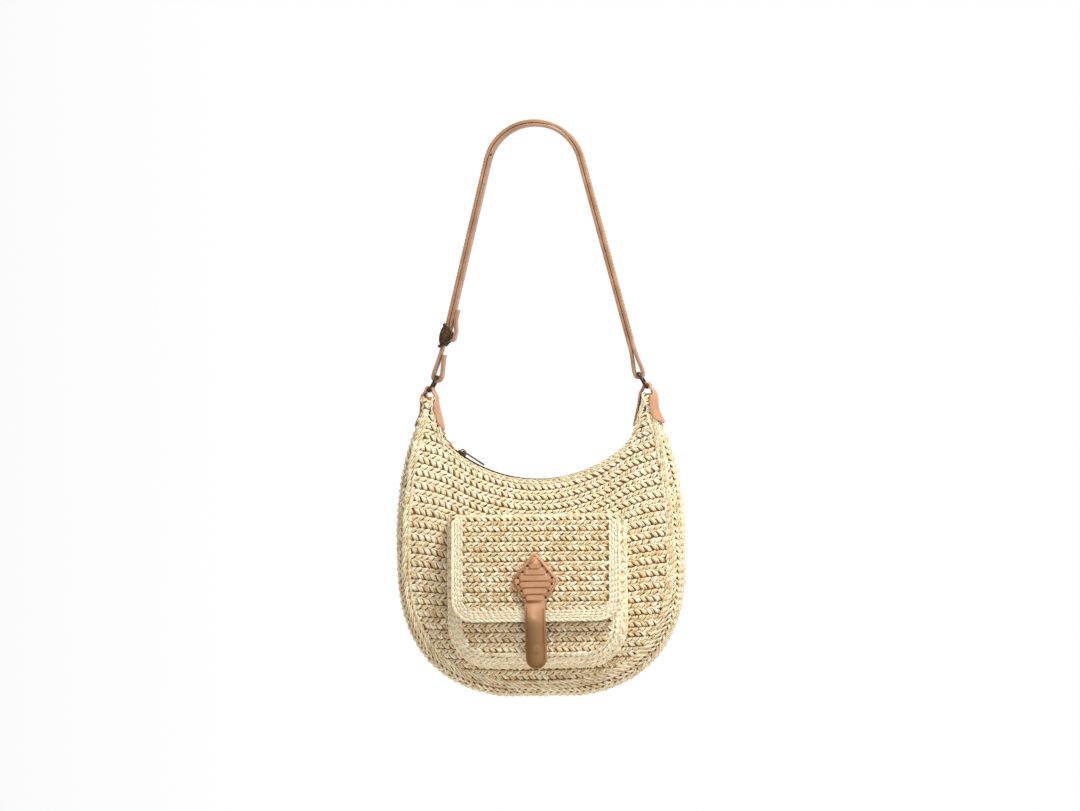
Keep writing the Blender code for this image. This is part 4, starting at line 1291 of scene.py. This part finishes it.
# The lace's holes, as (distance from the middle, height)
LACE_ROWS = [(6.0, -459.0), (11.0, -465.3), (16.0, -471.4)]
LACE_ROWS += [(15.8, -478.0), (12.4, -484.8), (9.2, -491.8)]
PLATE = Surface("closure_diamond")
LACE_HOLE_OFF = 1.2
# Dark discs just proud of the plate at the lace's ends: painted shade where the holes are.
holes = []
for half, z in LACE_ROWS:
    for way in (-1, 1):
        for shift in (0.0, 1.6, -1.6):
            place, normal = PLATE.face(way * (half + LACE_HOLE_OFF), z + shift)
            if place is not None:
                holes.append((place, normal))
                break
discs("closure_lace_hole_shade", holes, 1.15, 0.12, "flap", HOLE_SHADE, 14)
snap = [CLOSURE.face(0.0, SNAP_Z)]
discs("closure_snap_dome", snap, 4.6, 0.8, "closure", CLOSURE_LEATHER, 40)

strap_high = Vector(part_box("strap_long")[1]) / MM
arch_centre = strap_high.z - (ARCH_RADIUS + LAYER_OFF + LAYER / 2)
STRAP_SEAM_Y = 7.8


def strap_paths(y):
    """The strap's outer face, up one leg, over the arch and down the other."""
    bend = math.pi / 2 - LEG_ANGLE
    found = []
    for way in (-1, 1):
        down = np.array([way * math.sin(LEG_ANGLE), -math.cos(LEG_ANGLE)])
        out = np.array([way * math.cos(LEG_ANGLE), math.sin(LEG_ANGLE)])
        foot = np.array([0.0, arch_centre]) + out * ARCH_RADIUS
        leg_spots = [(foot + down * s, out) for s in np.arange(0.0, LEG_LENGTH, 3.0)]
        found.append(leg_spots)
    arch = []
    for a in np.linspace(-bend, bend, 50):
        out = np.array([math.sin(a), math.cos(a)])
        arch.append((np.array([0.0, arch_centre]) + out * ARCH_RADIUS, out))
    whole = found[0][::-1] + arch + found[1]
    path = []
    for spot, out in whole:
        start = spot + out * 25
        place, normal = STRAP.cast((start[0], y, start[1]), (-out[0], 0.0, -out[1]), 30.0)
        if place is not None:
            path.append((place, normal))
    return path


strap_seams = [strap_paths(-STRAP_SEAM_Y), strap_paths(STRAP_SEAM_Y)]
thread("strap_thread", strap_seams, "strap", THREAD, 4.0, 2.8, 0.32)


# ---- camera and light

# The camera's angles in degrees, its distance and half the width of its view there in metres
VIEW_TURN = 5.2
VIEW_ROLL = -1.0
VIEW_DISTANCE = 6.0
VIEW_HALF = 0.5664
SENSOR = 36.0

target = Vector((1.4, 0.0, -293.0)) * MM
turn = math.radians(VIEW_TURN)
away = Vector((math.sin(turn), -math.cos(turn), 0.0)) * VIEW_DISTANCE
roll = math.radians(VIEW_ROLL)
tilted = Vector((math.cos(roll), math.sin(roll), 0))
camera = add_object("camera", bpy.data.cameras.new("camera"))
camera.location = target + away
camera.rotation_mode = "QUATERNION"
look = (-away).to_track_quat("-Z", "Y")
camera.rotation_quaternion = look @ Vector((1, 0, 0)).rotation_difference(tilted)
camera.data.sensor_width = SENSOR
camera.data.lens = SENSOR / 2 / (VIEW_HALF / VIEW_DISTANCE)
camera.data.clip_end = 20.0
bpy.context.scene.camera = camera

# A pale studio all round, darker below and above, and dimmer towards the left
world = bpy.data.worlds.new("studio")
bpy.context.scene.world = world
world.use_nodes = True
tree = world.node_tree
link = tree.links.new
sky = tree.nodes["Background"]
where = tree.nodes.new("ShaderNodeTexCoord")
split = tree.nodes.new("ShaderNodeSeparateXYZ")
WHITE = (1.0, 1.0, 1.0)
BELOW = (0.30, 0.28, 0.26)
ABOVE = (0.55, 0.55, 0.56)
shade = ramp(tree, ((0.22, BELOW), (0.32, WHITE), (0.60, WHITE), (0.80, ABOVE)))
half = node(tree, "ShaderNodeMath", {1: 0.5, 2: 0.5}, operation="MULTIPLY_ADD")
link(where.outputs["Generated"], split.inputs[0])
link(split.outputs["Z"], half.inputs[0])
link(half.outputs[0], shade.inputs["Fac"])
across = node(tree, "ShaderNodeMath", {1: 0.5, 2: 0.5}, operation="MULTIPLY_ADD")
link(split.outputs["X"], across.inputs[0])
dim = ramp(tree, ((0.12, (0.50, 0.50, 0.50)), (0.43, WHITE)))
link(across.outputs[0], dim.inputs["Fac"])
both = node(tree, "ShaderNodeMix", {"Factor": 1.0}, data_type="RGBA", blend_type="MULTIPLY")
link(shade.outputs["Color"], both.inputs["A"])
link(dim.outputs["Color"], both.inputs["B"])
link(both.outputs["Result"], sky.inputs["Color"])
sky.inputs["Strength"].default_value = 1.0


def area_light(name, place, aim, size, power):
    data = bpy.data.lights.new(name, "AREA")
    data.shape = "SQUARE"
    data.size = size
    data.energy = power
    made = add_object(name, data)
    made.location = place
    made.rotation_mode = "QUATERNION"
    made.rotation_quaternion = (Vector(aim) - Vector(place)).to_track_quat("-Z", "Y")


area_light("key", (0.85, -0.85, 1.45), aim=(0.0, 0.0, -0.40), size=0.5, power=48.0)
area_light("rim", (1.4, -0.1, 0.3), aim=(0.0, 0.0, -0.42), size=0.7, power=4.5)
area_light("back", (-1.0, 1.5, 0.5), aim=(0.0, 0.0, -0.42), size=1.0, power=22.0)

# A round floor, in metres
FLOOR_RADIUS = 2.88
FLOOR_Z = -0.95
FLOOR_SIDES = 96

floor_mesh = bpy.data.meshes.new("floor")
turns = [2 * math.pi * i / FLOOR_SIDES for i in range(FLOOR_SIDES)]
ring = [(FLOOR_RADIUS * math.cos(a), FLOOR_RADIUS * math.sin(a), FLOOR_Z) for a in turns]
floor_mesh.from_pydata(ring, [], [tuple(range(FLOOR_SIDES))])
floor = add_object("floor", floor_mesh)
paint, tree, shader = new_material("floor_paint")
shader.inputs["Base Color"].default_value = (0.72, 0.72, 0.71, 1.0)
shader.inputs["Roughness"].default_value = 0.9
floor_mesh.materials.append(paint)

bpy.context.scene.view_settings.view_transform = "Standard"
